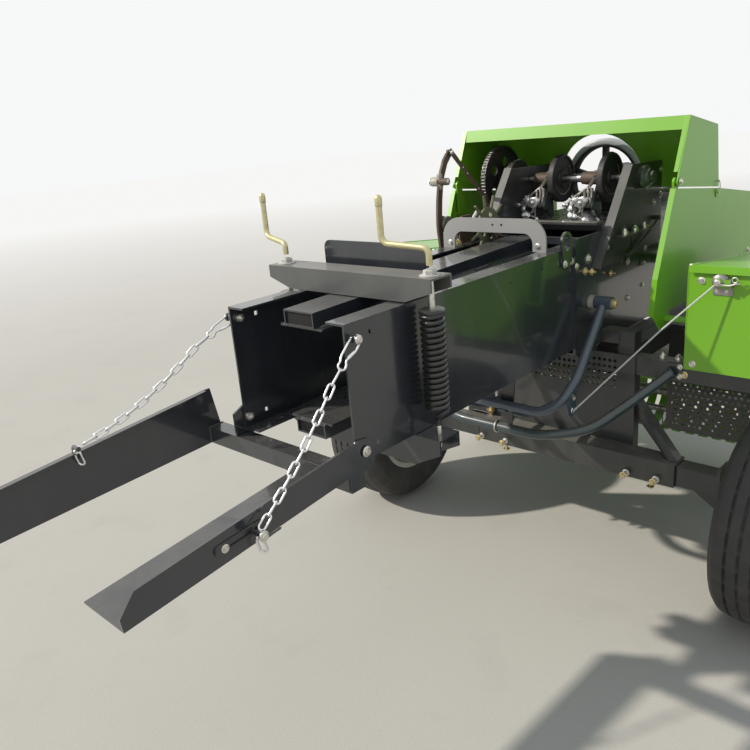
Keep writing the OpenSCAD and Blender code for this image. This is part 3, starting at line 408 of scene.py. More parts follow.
def plated(name, slot, colour, rough=0.28, tarnish=0.2, dark=(0.12, 0.11, 0.10), metal=1.0, brush=None):
    """Zinc-plated or plain steel: bright metal with cloudy tarnish and a fine drawn grain."""
    f = Finish(name, slot)
    cloud = f.ramp(f.noise(70.0, 5.0, 0.6), (0.42, 0.0), (0.75, 1.0))
    grain = f.noise(900.0, 2.0, 0.5, stretch=brush or (1, 1, 1))
    f.surface(Base_Color=f.blend(colour, dark, cloud * tarnish),
              Roughness=rough + 0.22 * cloud + 0.10 * grain, Metallic=metal,
              Normal=f.bumped(grain, 0.00008, 0.4))
    return f


def rubber(name, slot, colour):
    """Tyre rubber: dull black with a fine moulded grain, and pale dust in its low places
    and where it last rolled."""
    f = Finish(name, slot)
    dust = f.ramp(f.noise(16.0, 6.0, 0.65), (0.38, 0.0), (0.78, 1.0))
    fine = f.noise(240.0, 4.0, 0.6)
    low = f.ramp(f.coordinate("Z"), (0.0, 0.9), (0.35, 0.15))
    f.surface(Base_Color=f.blend(colour, (0.21, 0.19, 0.16), (dust * 0.30 + 0.10 * fine) * (0.6 + low)),
              Roughness=0.62 + dust * 0.2, Normal=f.bumped(fine, 0.0004, 0.4))
    return f


def twisted_fibre(name, slot, colour):
    """Baling twine: two plies wound round each other, a slanting wave along the cord, with hairs; the colour is
    darker in the troughs between the plies, painted shade.
    """
    f = Finish(name, slot)
    along = f.node("ShaderNodeUVMap", {"uv_map": "along"})[0]
    parts = f.node("ShaderNodeSeparateXYZ", None, {0: along})
    angle = parts["X"] * 900.0 + parts["Y"] * 12.566
    ply = f.node("ShaderNodeMath", {"operation": "SINE"}, {0: angle})[0] * 0.5 + 0.5
    fuzz = f.noise(1400.0, 2.0)
    # darker where the ply wave is low: painted shade in the troughs between the plies
    tone = f.blend([c * 0.62 for c in colour], colour, ply * 0.75 + fuzz * 0.25)
    f.surface(Base_Color=tone, Roughness=0.85, Normal=f.bumped(ply + fuzz * 0.3, 0.0008, 0.8))
    return f


def plastic(name, slot, colour, rough=0.42):
    """Moulded plastic: even colour, faint flow clouds, fine scratches and a little dust."""
    f = Finish(name, slot)
    cloud = f.noise(12.0, 4.0)
    scratch = f.ramp(f.noise(160.0, 5.0, 0.7, stretch=(1, 0.1, 1)), (0.6, 0.0), (0.75, 1.0))
    f.surface(Base_Color=f.blend([c * 0.88 for c in colour], colour, cloud), Roughness=rough + 0.15 * scratch,
              Normal=f.bumped(scratch, 0.0001, 0.3))
    return f


# ---------------------------------------------------------------- what a user may change


def length(name, about, default, low, high):
    """A size in millimetres that the panel shows."""
    return bpy.props.FloatProperty(name=name, description=about + " in millimetres", default=default, min=low,
                                   max=high)


def colour(name, about, default):
    """A colour that the panel shows."""
    return bpy.props.FloatVectorProperty(name=name, description=about, subtype="COLOR", default=default,
                                         min=0, max=1)


class BalerSizes(bpy.types.PropertyGroup):
    """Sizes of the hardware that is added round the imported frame."""

    bolt: length("Bolt size", "Radius of a common bolt head", 9.0, 5.0, 14.0)
    tyre_groove: length("Tyre groove", "Depth of the tread grooves", 9.0, 3.0, 12.0)
    twine: length("Twine", "Radius of the twine", 3.0, 1.5, 3.0)
    weld: length("Weld bead", "Radius of a weld bead", 3.2, 1.5, 5.0)
    coils: bpy.props.IntProperty(name="Spring coils", description="Turns of each tension spring", default=17,
                                 min=12, max=20)


class BalerColours(bpy.types.PropertyGroup):
    """Colours of the finishes, as linear red, green and blue."""

    hood: colour("Hood", "Hood, twine boxes and pickup", (0.185, 0.46, 0.018))
    slate: colour("Chamber", "Bale chamber, chute and rails", (0.030, 0.034, 0.041))
    beam: colour("Beam", "Upper tension beam", (0.105, 0.108, 0.103))
    blue: colour("Yoke", "Needle yoke", (0.050, 0.075, 0.105))
    floor: colour("Floor", "Concrete floor", (0.60, 0.57, 0.51))


def sizes():
    return bpy.context.scene.baler_sizes


def colours():
    return bpy.context.scene.baler_colours


FINISHES = {}


def make_finishes():
    """One finish for each slot of the record, and a few more for the small hardware, each on
    the nearest slot. A row has the kind of finish, the material's name, its colour, and the
    settings that differ from the kind's own."""
    chosen = colours()
    slate, beam, hood, blue = (tuple(c) for c in (chosen.slate, chosen.beam, chosen.hood, chosen.blue))
    rows = {
        "chamber_paint": (paint, "slate enamel", slate, dict(rough=0.20, dust=0.16, coat=0.6, peel=0.25)),
        "beam_paint": (paint, "grey beam enamel", beam, dict(rough=0.38, dust=0.32, coat=0.25)),
        "frame_paint": (paint, "frame enamel", (0.036, 0.038, 0.039), dict(rough=0.34, dust=0.40)),
        "hood_green": (paint, "hood enamel", hood, dict(rough=0.34, dust=0.06, coat=0.16, peel=0.3,
                                                        dust_colour=(0.50, 0.55, 0.36), fade=0.06)),
        "spring_black": (paint, "spring enamel", (0.012, 0.0125, 0.014), dict(dust=0.16, coat=0.4)),
        "zinc_yellow": (plated, "yellow zinc", (0.62, 0.57, 0.34), dict(rough=0.32, tarnish=0.28, metal=0.75,
                                                                       dark=(0.30, 0.24, 0.10))),
        "arch_grey": (paint, "pale grey enamel", (0.36, 0.355, 0.345), dict(rough=0.36, coat=0.25)),
        "olive_iron": (cast, "olive primed iron", (0.20, 0.21, 0.12), dict(rust=0.25, rough=0.5)),
        "brown_iron": (cast, "brown iron", (0.12, 0.090, 0.068), dict(rust=0.45, rough=0.55, metal=0.3)),
        "dark_iron": (cast, "dark painted iron", (0.030, 0.031, 0.032), dict(rust=0.18, rough=0.46, metal=0.1)),
        "yoke_paint": (paint, "blue grey enamel", blue, dict(rough=0.28, dust=0.2, coat=0.4)),
        "guard_paint": (paint, "dark blue enamel", (0.035, 0.055, 0.060), dict(coat=0.4)),
        "chain_zinc": (plated, "bright zinc", (0.78, 0.79, 0.80), dict(rough=0.22, tarnish=0.16)),
        "tyre_rubber": (rubber, "tyre rubber", (0.030, 0.030, 0.031), {}),
        "rim_cream": (paint, "cream enamel", (0.60, 0.575, 0.50), dict(rough=0.34, dust=0.3)),
        "twine_white": (twisted_fibre, "white twine", (0.86, 0.86, 0.82), {}),
        "guard_plastic": (plastic, "yellow guard plastic", (0.80, 0.50, 0.03), {}),
        "reel_steel": (plated, "tine steel", (0.36, 0.35, 0.34), dict(rough=0.38, tarnish=0.5)),
        "bolt_zinc": (plated, "bolt zinc", (0.70, 0.69, 0.64), dict(slot="chain_zinc", rough=0.3, tarnish=0.45,
                                                                   dark=(0.22, 0.20, 0.15))),
        "bolt_yellow": (plated, "yellow bolt zinc", (0.66, 0.56, 0.30), dict(
            slot="zinc_yellow", rough=0.3, tarnish=0.3, dark=(0.25, 0.18, 0.07), metal=0.85)),
        "shaft_steel": (plated, "turned steel", (0.50, 0.49, 0.47), dict(slot="reel_steel", rough=0.2,
                                                                        tarnish=0.25, brush=(1, 12, 12))),
        "knot_steel": (cast, "knotter casting", (0.34, 0.33, 0.31), dict(
            slot="brown_iron", rust=0.2, rough=0.36, metal=0.8, grain=0.0004)),
        # flat near-black paint for holes, slots and the rails' open ends: painted shade where only shade would
        # be seen
        "black_hole": (paint, "hole shade", (0.004, 0.004, 0.005), dict(slot="chamber_paint", rough=0.8,
                                                                       dust=0.05, coat=0.0)),
        "weld_bead": (paint, "painted weld", slate, dict(slot="chamber_paint", rough=0.33, dust=0.35,
                                                         coat=0.35)),
        "frame_weld": (paint, "frame weld", (0.024, 0.028, 0.031), dict(slot="frame_paint", rough=0.4, dust=0.4,
                                                                       coat=0.25)),
        "trip_cream": (paint, "cream collar", (0.46, 0.43, 0.36), dict(slot="rim_cream", rough=0.42, dust=0.3,
                                                                      coat=0.15)),
        "pale_nut": (paint, "pale nut", (0.62, 0.60, 0.56), dict(slot="rim_cream", rough=0.45, dust=0.2,
                                                                 coat=0.1)),
        "bright_cast": (cast, "bright casting", (0.74, 0.74, 0.72), dict(
            slot="chain_zinc", rust=0.08, rough=0.26, metal=0.9, grain=0.0003)),
        "hanger_grey": (paint, "grey green enamel", (0.075, 0.095, 0.085), dict(slot="frame_paint", rough=0.34,
                                                                               dust=0.3)),
        "chain_oiled": (plated, "oiled roller chain", (0.16, 0.15, 0.14), dict(
            slot="dark_iron", rough=0.34, tarnish=0.5, dark=(0.03, 0.028, 0.025))),
        "rim_grey": (paint, "flywheel enamel", (0.40, 0.41, 0.42), dict(slot="arch_grey", rough=0.36, dust=0.15,
                                                                       coat=0.25)),
    }
    for key, (kind, name, shade, settings) in rows.items():
        FINISHES[key] = kind(name, settings.pop("slot", key), shade, **settings)


def dress_cad_nodes():
    """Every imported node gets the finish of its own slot."""
    slot_of = {part["node"]: part["material_slot"] for part in frame["record"]["subparts"]}
    for name, obj in frame["nodes"].items():
        finish = FINISHES[slot_of[name]].material
        if not obj.material_slots:
            obj.data.materials.append(finish)
        for place in obj.material_slots:
            place.material = finish


# ---------------------------------------------------------------- hardware patterns

UP, DOWN, FORE, REAR, RIGHT, LEFT = Z, -Z, Y, -Y, X, -X
BOTH = (1, -1)
SIDES = ((1, "right"), (-1, "left"))


def mirrored(*paths):
    """Paths on the right side and the same ones on the left."""
    return [[(side * x, y, z) for x, y, z in path] for side in BOTH for path in paths]


def heads(way, *table, size=1.0):
    """Rows for bolts() that all face one way: each line is a place and a radius."""
    return [(line[:3], way, line[3] * size) for line in table]


def bolt_ring(centre, r, count, way, size, start=0.0):
    """Rows for bolts() round a circle square to the way: cosine of the angle along the first
    axis across it, sine along the second."""
    a = start + np.arange(count)[:, None] * 2 * np.pi / count
    across = [axis for axis in (X, Y, Z) if abs(axis @ way) < 0.5]
    return [(place, way, size) for place in centre + r * (np.cos(a) * across[0] + np.sin(a) * across[1])]


def spun(profile, sides, place, way):
    """A turned profile moved to one place, its height along the way."""
    return turned(profile, sides).at([place], [way])


def bar(points, bend, r, sides=10, steps=6, **more):
    """Round bar along a path with rounded corners."""
    return tube(smooth_path(points, bend, steps), r, sides, **more)


def rod(a, b, r, sides=16):
    """Straight round bar between two places, closed at both ends."""
    a, b = np.asarray(a, float), np.asarray(b, float)
    return tube([a, b], r, sides, ref=side_of(b - a)[0])


def hoop(centre, r, wire, axis=X, count=28, sides=10):
    """Closed ring of round wire."""
    return tube(ring_path(centre, r, axis, count), wire, sides, ref=axis, closed=True)


def hex_head(r, height, washer=1.5):
    """Hexagon head on a round washer: a six-sided turned profile whose top corners are
    chamfered, over a flat turned ring."""
    head = turned([[0, 0], [r, 0], [r, height * 0.82], [r * 0.90, height], [0, height]], 6)
    head.v[:, 2] += washer
    ring = turned([[0, 0], [r * 1.55, 0], [r * 1.55, washer * 0.8], [r * 1.48, washer], [0, washer]], 20)
    return joined(ring, head)


def nut_and_thread(r, height, stick):
    """Nut, washer and the bolt's end that stands out of it with thread rings: the thread's
    radius is a mean plus a ripple, sine of the height."""
    h = np.linspace(0, stick, max(6, int(stick / 1.2)))
    core = r * 0.56 + 0.35 * np.sin(h * 2 * np.pi / 2.4)
    tip = [[r * 0.42, stick + 1.0], [0, stick + 1.0]]
    thread = turned(np.concatenate([[[0, 0]], np.stack([core, h], 1), tip]), 12)
    thread.v[:, 2] += height
    return joined(hex_head(r, height), thread)


def round_head(r):
    """Low domed head: its profile is a quarter ellipse, radius r and height half of r."""
    a = np.linspace(0, np.pi / 2, 7)
    return turned(np.stack([r * np.cos(a), 0.5 * r * np.sin(a)], 1), 16)


def bolts(name, rows, finish="bolt_zinc", body="machine", kind="hex"):
    """Like bolts as one piece. Each row: place, way out, radius."""
    places, axes, r = (np.array([line[k] for line in rows], float) for k in range(3))
    shapes = {"hex": hex_head(1.0, 0.68, 0.16), "nut": nut_and_thread(1.0, 0.8, 0.9), "dome": round_head(1.0)}
    spins = np.arange(len(rows)) * 0.37
    return piece(name, shapes[kind].at(places, axes, spins, r), finish, body, smooth=32)


def spaced(path, number):
    """Places along a path at equal distances, as many as the number that is worked out from
    its length; also their distances."""
    length = np.concatenate([[0], np.cumsum(np.linalg.norm(np.diff(path, axis=0), axis=1))])
    s = np.linspace(0, length[-1], number(length[-1]))
    return np.stack([np.interp(s, length, path[:, k]) for k in range(path.shape[1])], 1), s


def weld_bead(path):
    """Weld along a path: a round bead whose radius ripples as the sine of the length,
    one ripple every four millimetres, and swells and thins slowly."""
    r = sizes().weld
    fine, s = spaced(np.asarray(path, float), lambda whole: max(8, int(whole / 1.6)))
    ripple = 1 + 0.16 * np.sin(s * 2 * np.pi / 4.2) + 0.10 * np.sin(s / 9.0)
    ends = np.minimum(1, np.minimum(s, s[-1] - s) / (2.0 * r) + 0.25)
    return tube(fine, r * ripple * ends, 8)


def welds(name, paths, body="machine", finish="weld_bead"):
    return piece(name, [weld_bead(p) for p in paths], finish, body, smooth=60)


def coil_path(centre, r, low, high, turns, steps=26, start=0.0):
    """Places up a coil: radius times cosine and sine of the angle, height rising evenly."""
    n = int(turns * steps) + 1
    a = start + np.linspace(0, 2 * np.pi * turns, n)
    return np.stack([centre[0] + r * np.cos(a), centre[1] + r * np.sin(a), np.linspace(low, high, n)], 1)


def capsule(a, b, r, sides=16, round_ends=5):
    """Round-ended bar between two places: radius falls as the cosine over each end."""
    a, b = np.asarray(a, float), np.asarray(b, float)
    way = unit(b - a)
    t = np.linspace(0, np.pi / 2, round_ends)
    low = a - way * (r * np.cos(t))[:, None] * 0.999
    high = b + way * (r * np.sin(t))[:, None] * 0.999
    radii = np.concatenate([r * np.sin(t), r * np.cos(t)])
    return tube(np.concatenate([low, high]), np.maximum(radii, 0.01), sides, ref=side_of(way)[0])


def link_shape(pitch, outer, wire, sides=10, bend_steps=9):
    """Chain link about the origin, its long way along +Z and its width along X: two half
    circles, radius times sine and cosine, a straight apart."""
    bend = outer / 2 - wire
    straight = pitch / 2 + wire - bend
    a = np.linspace(np.pi / 2, -np.pi / 2, bend_steps)
    top = np.stack([bend * np.sin(a), 0 * a, straight + bend * np.cos(a)], 1)
    ring = np.concatenate([top, top * [-1, 1, -1]])
    return tube(ring, wire, sides, ref=Y, closed=True)


def hung(a, b, sag, count):
    """Ways and middles of the links of a slack chain, and their mean pitch: the straight way
    from a to b less sag times 4t(1-t), cut into equal lengths."""
    t = np.linspace(0, 1, 400)[:, None]
    line = a + (b - a) * t - np.array([0, 0, 4 * sag]) * t * (1 - t)
    ends, _ = spaced(line, lambda whole: count + 1)
    ways = np.diff(ends, axis=0)
    return ways, (ends[:-1] + ends[1:]) / 2, float(np.linalg.norm(ways, axis=1).mean())


# ---------------------------------------------------------------- operators


class BALER_OT_finishes(bpy.types.Operator):
    """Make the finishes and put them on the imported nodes"""

    bl_idname = "baler.finishes"
    bl_label = "Finishes"

    def execute(self, context):
        make_finishes()
        dress_cad_nodes()
        return {"FINISHED"}


# the photograph's view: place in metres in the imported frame, angles in degrees
EYE = (1.491, -2.6525, 1.798)
AZIMUTH, PITCH, ROLL = 44.153, 18.409, -4.93
FOCUS = 738.85  # in pixels of a picture 750 wide
# where the sun stands, as the shadows on the ground show, its strength, width and colour
SUN_FROM = (-1.08, -0.85, 1.0)
SUN_STRENGTH, SUN_DEGREES, SUN_COLOUR = 3.1, 1.6, (1.0, 0.955, 0.88)
# colour and strength of the sky's light, and the paleness that the camera sees behind
SKY, SKY_STRENGTH, BEHIND = (0.82, 0.91, 1.0, 1), 0.50, (0.93, 0.935, 0.94, 1)
FLOOR_HALF, FLOOR_DROP = 40, -0.001


class BALER_OT_stage(bpy.types.Operator):
    """Camera at the photograph's angle, concrete floor, world and a low sun from the rear left"""

    bl_idname = "baler.stage"
    bl_label = "Stage"

    def execute(self, context):
        scene = context.scene
        scene.view_settings.view_transform = "Standard"
        self.camera(scene)
        self.floor(scene)
        self.world(scene)
        self.sun(scene)
        return {"FINISHED"}

    def camera(self, scene):
        """The forward way comes from azimuth and pitch; right and up are turned by the roll."""
        az, p, r = (math.radians(v) for v in (AZIMUTH, PITCH, ROLL))
        forward = Vector((-math.sin(az) * math.cos(p), math.cos(az) * math.cos(p), -math.sin(p)))
        right = Vector((math.cos(az), math.sin(az), 0))
        up = right.cross(forward)
        right, up = right * math.cos(r) + up * math.sin(r), up * math.cos(r) - right * math.sin(r)
        data = bpy.data.cameras.new("camera")
        data.sensor_width = 36.0
        data.lens = FOCUS / 750 * data.sensor_width
        data.clip_start, data.clip_end = 0.05, 200
        obj = bpy.data.objects.new("camera", data)
        turned_to = Matrix((right, up, -forward)).transposed().to_4x4()
        obj.matrix_world = Matrix.Translation(EYE) @ turned_to
        scene.collection.objects.link(obj)
        scene.camera = obj

    def floor(self, scene):
        """Concrete whose far parts fade into the pale background that the camera sees."""
        f = Finish("concrete", "arch_grey")
        broad = f.noise(0.8, 5.0, 0.6)
        grit = f.noise(160.0, 3.0)
        stain = f.ramp(f.noise(2.6, 6.0, 0.62, shift=(3, 1, 0)), (0.56, 0.0), (0.74, 1.0))
        c = tuple(colours().floor)
        tone = f.blend([v * 0.92 for v in c], [min(1, v * 1.05) for v in c], broad)
        tone = f.blend(tone, [v * 0.80 for v in c], stain * 0.35 + f.ramp(grit, (0.3, 0.25), (0.6, 0.0)))
        seen = f.node("ShaderNodeLightPath")
        pale = f.node("ShaderNodeEmission", None, {"Color": (0.93, 0.925, 0.91), "Strength": 1.0})[0]
        span = f.node("ShaderNodeVectorMath", {"operation": "LENGTH"}, {0: f.place})["Value"]
        far = f.ramp(span / 30.0, (0.16, 0.0), (0.62, 1.0))
        f.surface(Base_Color=tone, Roughness=0.85, Normal=f.bumped(grit, 0.002, 0.35))
        shown = (seen["Is Camera Ray"] + seen["Is Glossy Ray"] + seen["Is Transmission Ray"]).least(1.0)
        mix = f.node("ShaderNodeMixShader", None, {0: far * shown}).made
        f.tree.links.new(f.shader.outputs[0], mix.inputs[1])
        f.tree.links.new(pale.socket, mix.inputs[2])
        f.tree.links.new(mix.outputs[0], f.tree.nodes["Material Output"].inputs["Surface"])
        half = FLOOR_HALF
        corners = [(x, y, FLOOR_DROP) for x, y in ((-half, -half), (half, -half), (half, half), (-half, half))]
        mesh = bpy.data.meshes.new("floor")
        mesh.from_pydata(corners, [], [(0, 1, 2, 3)])
        mesh.materials.append(f.material)
        floor = bpy.data.objects.new("floor", mesh)
        scene.collection.objects.link(floor)

    def world(self, scene):
        """Soft light of the sky, and a paler background for what is seen or mirrored."""
        world = bpy.data.worlds.new("world")
        world.use_nodes = True
        tree = world.node_tree
        back = tree.nodes["Background"]
        path = tree.nodes.new("ShaderNodeLightPath")
        seen = tree.nodes.new("ShaderNodeBackground")
        seen.inputs["Color"].default_value = BEHIND
        back.inputs["Color"].default_value = SKY
        back.inputs["Strength"].default_value = SKY_STRENGTH
        mix = tree.nodes.new("ShaderNodeMixShader")
        shown = path.outputs["Is Camera Ray"]
        for ray in ("Is Glossy Ray", "Is Transmission Ray"):
            add = tree.nodes.new("ShaderNodeMath")
            add.operation, add.use_clamp = "ADD", True
            tree.links.new(shown, add.inputs[0])
            tree.links.new(path.outputs[ray], add.inputs[1])
            shown = add.outputs[0]
        tree.links.new(shown, mix.inputs[0])
        tree.links.new(back.outputs[0], mix.inputs[1])
        tree.links.new(seen.outputs[0], mix.inputs[2])
        tree.links.new(mix.outputs[0], tree.nodes["World Output"].inputs["Surface"])
        scene.world = world

    def sun(self, scene):
        data = bpy.data.lights.new("sun", "SUN")
        data.energy, data.angle, data.color = SUN_STRENGTH, math.radians(SUN_DEGREES), SUN_COLOUR
        sun = bpy.data.objects.new("sun", data)
        sun.rotation_euler = Vector(SUN_FROM).to_track_quat("Z", "Y").to_euler()
        scene.collection.objects.link(sun)


# road tyre, millimetres: radius, half width, bead radius and half width, tread half width
TYRE_R, BEAD_R, BEAD_HALF, TREAD_HALF = 374.0, 203.0, 105.0, 104.0
GROOVES = (-62.0, -21.0, 21.0, 62.0)
# axle line, height of its middle, and each wheel's distance from the chamber's middle
AXLE_Y, AXLE_Z = 1344.0, 374.0
WHEELS = {"left": -849.0, "right": 945.0}


def tyre_shape(centre_x, groove):
    """Tyre as a grid of section place by angle. Over the tread the radius is the crown,
    falling as the 2.6 power of the width, less four grooves, each a smooth trough, and in
    them tie bars where the sine of the angle is high; the sidewalls are quadratic curves
    with thin raised rings; a straight line under the tyre closes the section."""
    around = 288
    a = np.linspace(0, 2 * np.pi, around, endpoint=False)
    x = np.linspace(-TREAD_HALF, TREAD_HALF, 105)
    crown = TYRE_R - 13.0 * np.abs(x / TREAD_HALF) ** 2.6
    cut = sum(np.clip(1.6 - np.abs(x - g) / 3.6, 0, 1) for g in GROOVES)
    bars = np.clip(3.0 * np.sin(a * 36.0) - 1.7, 0, 1)
    sipes = np.clip(4.0 * np.sin(a * 72.0 + 0.8) - 3.2, 0, 1)
    edge = np.clip((np.abs(x) - 92.0) / 6.0, 0, 1)
    tread = crown[:, None] - groove * cut[:, None] * (1 - 0.72 * bars) - 4.0 * edge[:, None] * sipes
    t = np.linspace(0, 1, 40)[1:, None]
    start, bow, end = np.array([361.0, TREAD_HALF]), np.array([318.0, 161.0]), np.array([BEAD_R, BEAD_HALF])
    wall = (1 - t) ** 2 * start + 2 * (t * (1 - t)) * bow + t ** 2 * end
    for ring_r, rise in ((342, 2.0), (300, 1.2), (296, 1.2), (244, 1.6), (226, 2.4)):
        wall[:, 1] += rise * np.exp(-((wall[:, 0] - ring_r) / 2.6) ** 2)
    inner, outer = (np.broadcast_to(w, (len(wall), around)) for w in (wall[::-1, :1], wall[:, :1]))
    r = np.concatenate([inner, tread, outer])
    across = np.broadcast_to(np.concatenate([-wall[::-1, 1], x, wall[:, 1]])[:, None] + centre_x, r.shape)
    v = np.stack([across, AXLE_Y + r * np.cos(a), AXLE_Z + r * np.sin(a)], -1)
    return Shape(v, grid_faces(len(r), around, wrap_rows=True))


class BALER_OT_tyres(bpy.types.Operator):
    """Ribbed road tyres, wheel nuts, hub caps and valves"""

    bl_idname = "baler.tyres"
    bl_label = "Tyres"

    def execute(self, context):
        for side, x in WHEELS.items():
            body, out, hub = "wheel_" + side, math.copysign(1.0, x) * X, np.array([x, AXLE_Y, AXLE_Z])
            piece("ribbed_tyre_" + side, tyre_shape(x, sizes().tyre_groove), "tyre_rubber", body,
                  replaces=("tyre_" + side,), smooth=50)
            nuts = bolt_ring(hub + out * 64, 66, 5, out, 10, 0.35)
            bolts("wheel_nuts_" + side, nuts, body=body, kind="nut")
            cap = spun([[0, 0], [34, 0], [34, 16], [30, 24], [12, 28], [0, 28]], 40, hub + out * 72, out)
            valve = capsule(hub + out * 50 + Y * 168, hub + out * 92 + Y * 160, 4.0, 10)
            piece("hub_cap_" + side, [cap, valve], "rim_cream", body)
        return {"FINISHED"}


SPRING_X, SPRING_Y = 293.0, 288.0
# crank of each side: the arm's turn about the rod in degrees, height of its far end
CRANKS = {1: (188.0, 1496.0), -1: (162.0, 1486.0)}
CRANK_ARM = 150


class BALER_OT_tension(bpy.types.Operator):
    """Tension springs with their plugs, rods and nuts, and the bent crank handles"""

    bl_idname = "baler.tension"
    bl_label = "Springs and cranks"

    def execute(self, context):
        wound, rods, handles, nuts = [], [], [], []
        h = np.arange(1318, 1432, 1.5)
        thread = np.concatenate([[[0, 1318]], np.stack([9.4 + 0.3 * np.sin(h * 2.1), h], 1), [[0, 1432]]])
        plug = [[0, 1300], [27, 1300], [37, 1309], [38, 1314], [36, 1319], [31, 1321], [24, 1319],
                [14, 1318], [0, 1318]]
        for side in BOTH:
            foot = np.array([side * SPRING_X, SPRING_Y, 0.0])
            path = coil_path(foot, 30.0, 1026, 1306, sizes().coils, start=0.4)
            hook = [path[0], path[0] + [-8, -14, -8], foot + [4, -6, 1008], foot + Z * 996, foot + Z * 960]
            wound += [tube(path, 6.9, 10, ref=Z), bar(hook, 12, 6.6, steps=8), turned(plug, 32).at([foot])]
            rods += [turned(thread, 16).at([foot]), capsule(foot + Z * 972, foot + Z * 914, 7.6, 14)]
            degrees, high = CRANKS[side]
            turn = math.radians(degrees)
            far = foot + CRANK_ARM * np.array([math.cos(turn), math.sin(turn), 0])
            bend = [foot + Z * 1440, foot + Z * (high - 11), far + Z * high, far + Z * 1612]
            handles += [bar(bend, 26, 9.0, 18, 12), capsule(far + Z * 1600, far + Z * 1617, 10.5, 18)]
            nuts += [(foot + Z * 1412, UP, 19), (foot + Z * 943, DOWN, 15)]
        piece("tension_coils", wound, "spring_black", replaces=("tension_springs",))
        piece("tension_rods", rods, "bolt_zinc")
        piece("crank_bars", handles, "zinc_yellow", replaces=("crank_handles",))
        bolts("crank_nuts", nuts, "pale_nut")
        return {"FINISHED"}


# chain of each side: foot near the chute's hook pin, sag, links, the pin's middle, and how far
# the links are turned about the chain
CHAINS = {
    "right": (1, (272, -356, 944), 14, 11, (272, -366, 936), -0.75),
    "left": (-1, (-360, -450, 1044), 24, 12, (-369, -470, 1034), -1.0),
}
# outline of the gourd-shaped spring hook: across and down from the bolt
GOURD = [(0, -15), (-12, -9), (-14, 8), (-14, 50), (-9, 64), (-11, 76), (0, 86), (10, 77), (9, 66),
         (2, 56), (7, 40), (13, 20), (12, -9)]


class BALER_OT_chains(bpy.types.Operator):
    """Chute chains link by link, the spring hooks they hang from and their spare links"""

    bl_idname = "baler.chains"
    bl_label = "Chains"

    def execute(self, context):
        for name, (side, foot, sag, count, pin, twist) in CHAINS.items():
            foot, pin = np.array(foot, float), np.array(pin, float)
            bolt = np.array([side * 261.5, 14, 1294.0])
            down = unit(foot + [0, 0, 18] - bolt)
            flat = unit(np.cross(Z, down))
            across = math.cos(twist) * flat + math.sin(twist) * np.cross(down, flat)
            outline = smooth_path(GOURD + GOURD[:1], 7, 5)[:-1]
            hook = tube(bolt + outline[:, :1] * across + outline[:, 1:] * down, 3.0, 12, closed=True)
            sleeve = rod(bolt + across * 11 + down * 24, bolt + across * 4.5 + down * 46, 4.6, 14)
            # a long link below the hook, then the chain
            start = bolt + down * 84
            long_link = link_shape(42, 22, 3.0).at([start + down * 21], [down], [twist + np.pi / 2])
            ways, middles, pitch = hung(start + down * 44, foot, sag, count)
            turns = twist + np.arange(count) % 2 * np.pi / 2
            links = link_shape(pitch + 0.6, 21.5, 2.9).at(middles, ways, turns)
            piece("chute_chain_" + name, [links, long_link, hook, sleeve], "chain_zinc", "chain_" + name,
                  replaces=("chain_" + name,))
            # the hook link on the chute's pin, and the spare link below it
            way = unit(foot - pin)
            held = link_shape(6.0, 22, 3.2).at([pin + way * 1.5], [way])
            low = link_shape(4.0, 20, 3.2).at([pin + [side * 3.0, 0, -9]], [[0, 0.1, -1.0]], [0.1])
            spare = link_shape(pitch, 24, 3.4).at([pin + [side * 3.0, 4, -31]], [[0.1, 0.18, -1.0]], [0.9])
            piece("hook_links_" + name, [held, low, spare], "chain_zinc", "chute")
        return {"FINISHED"}


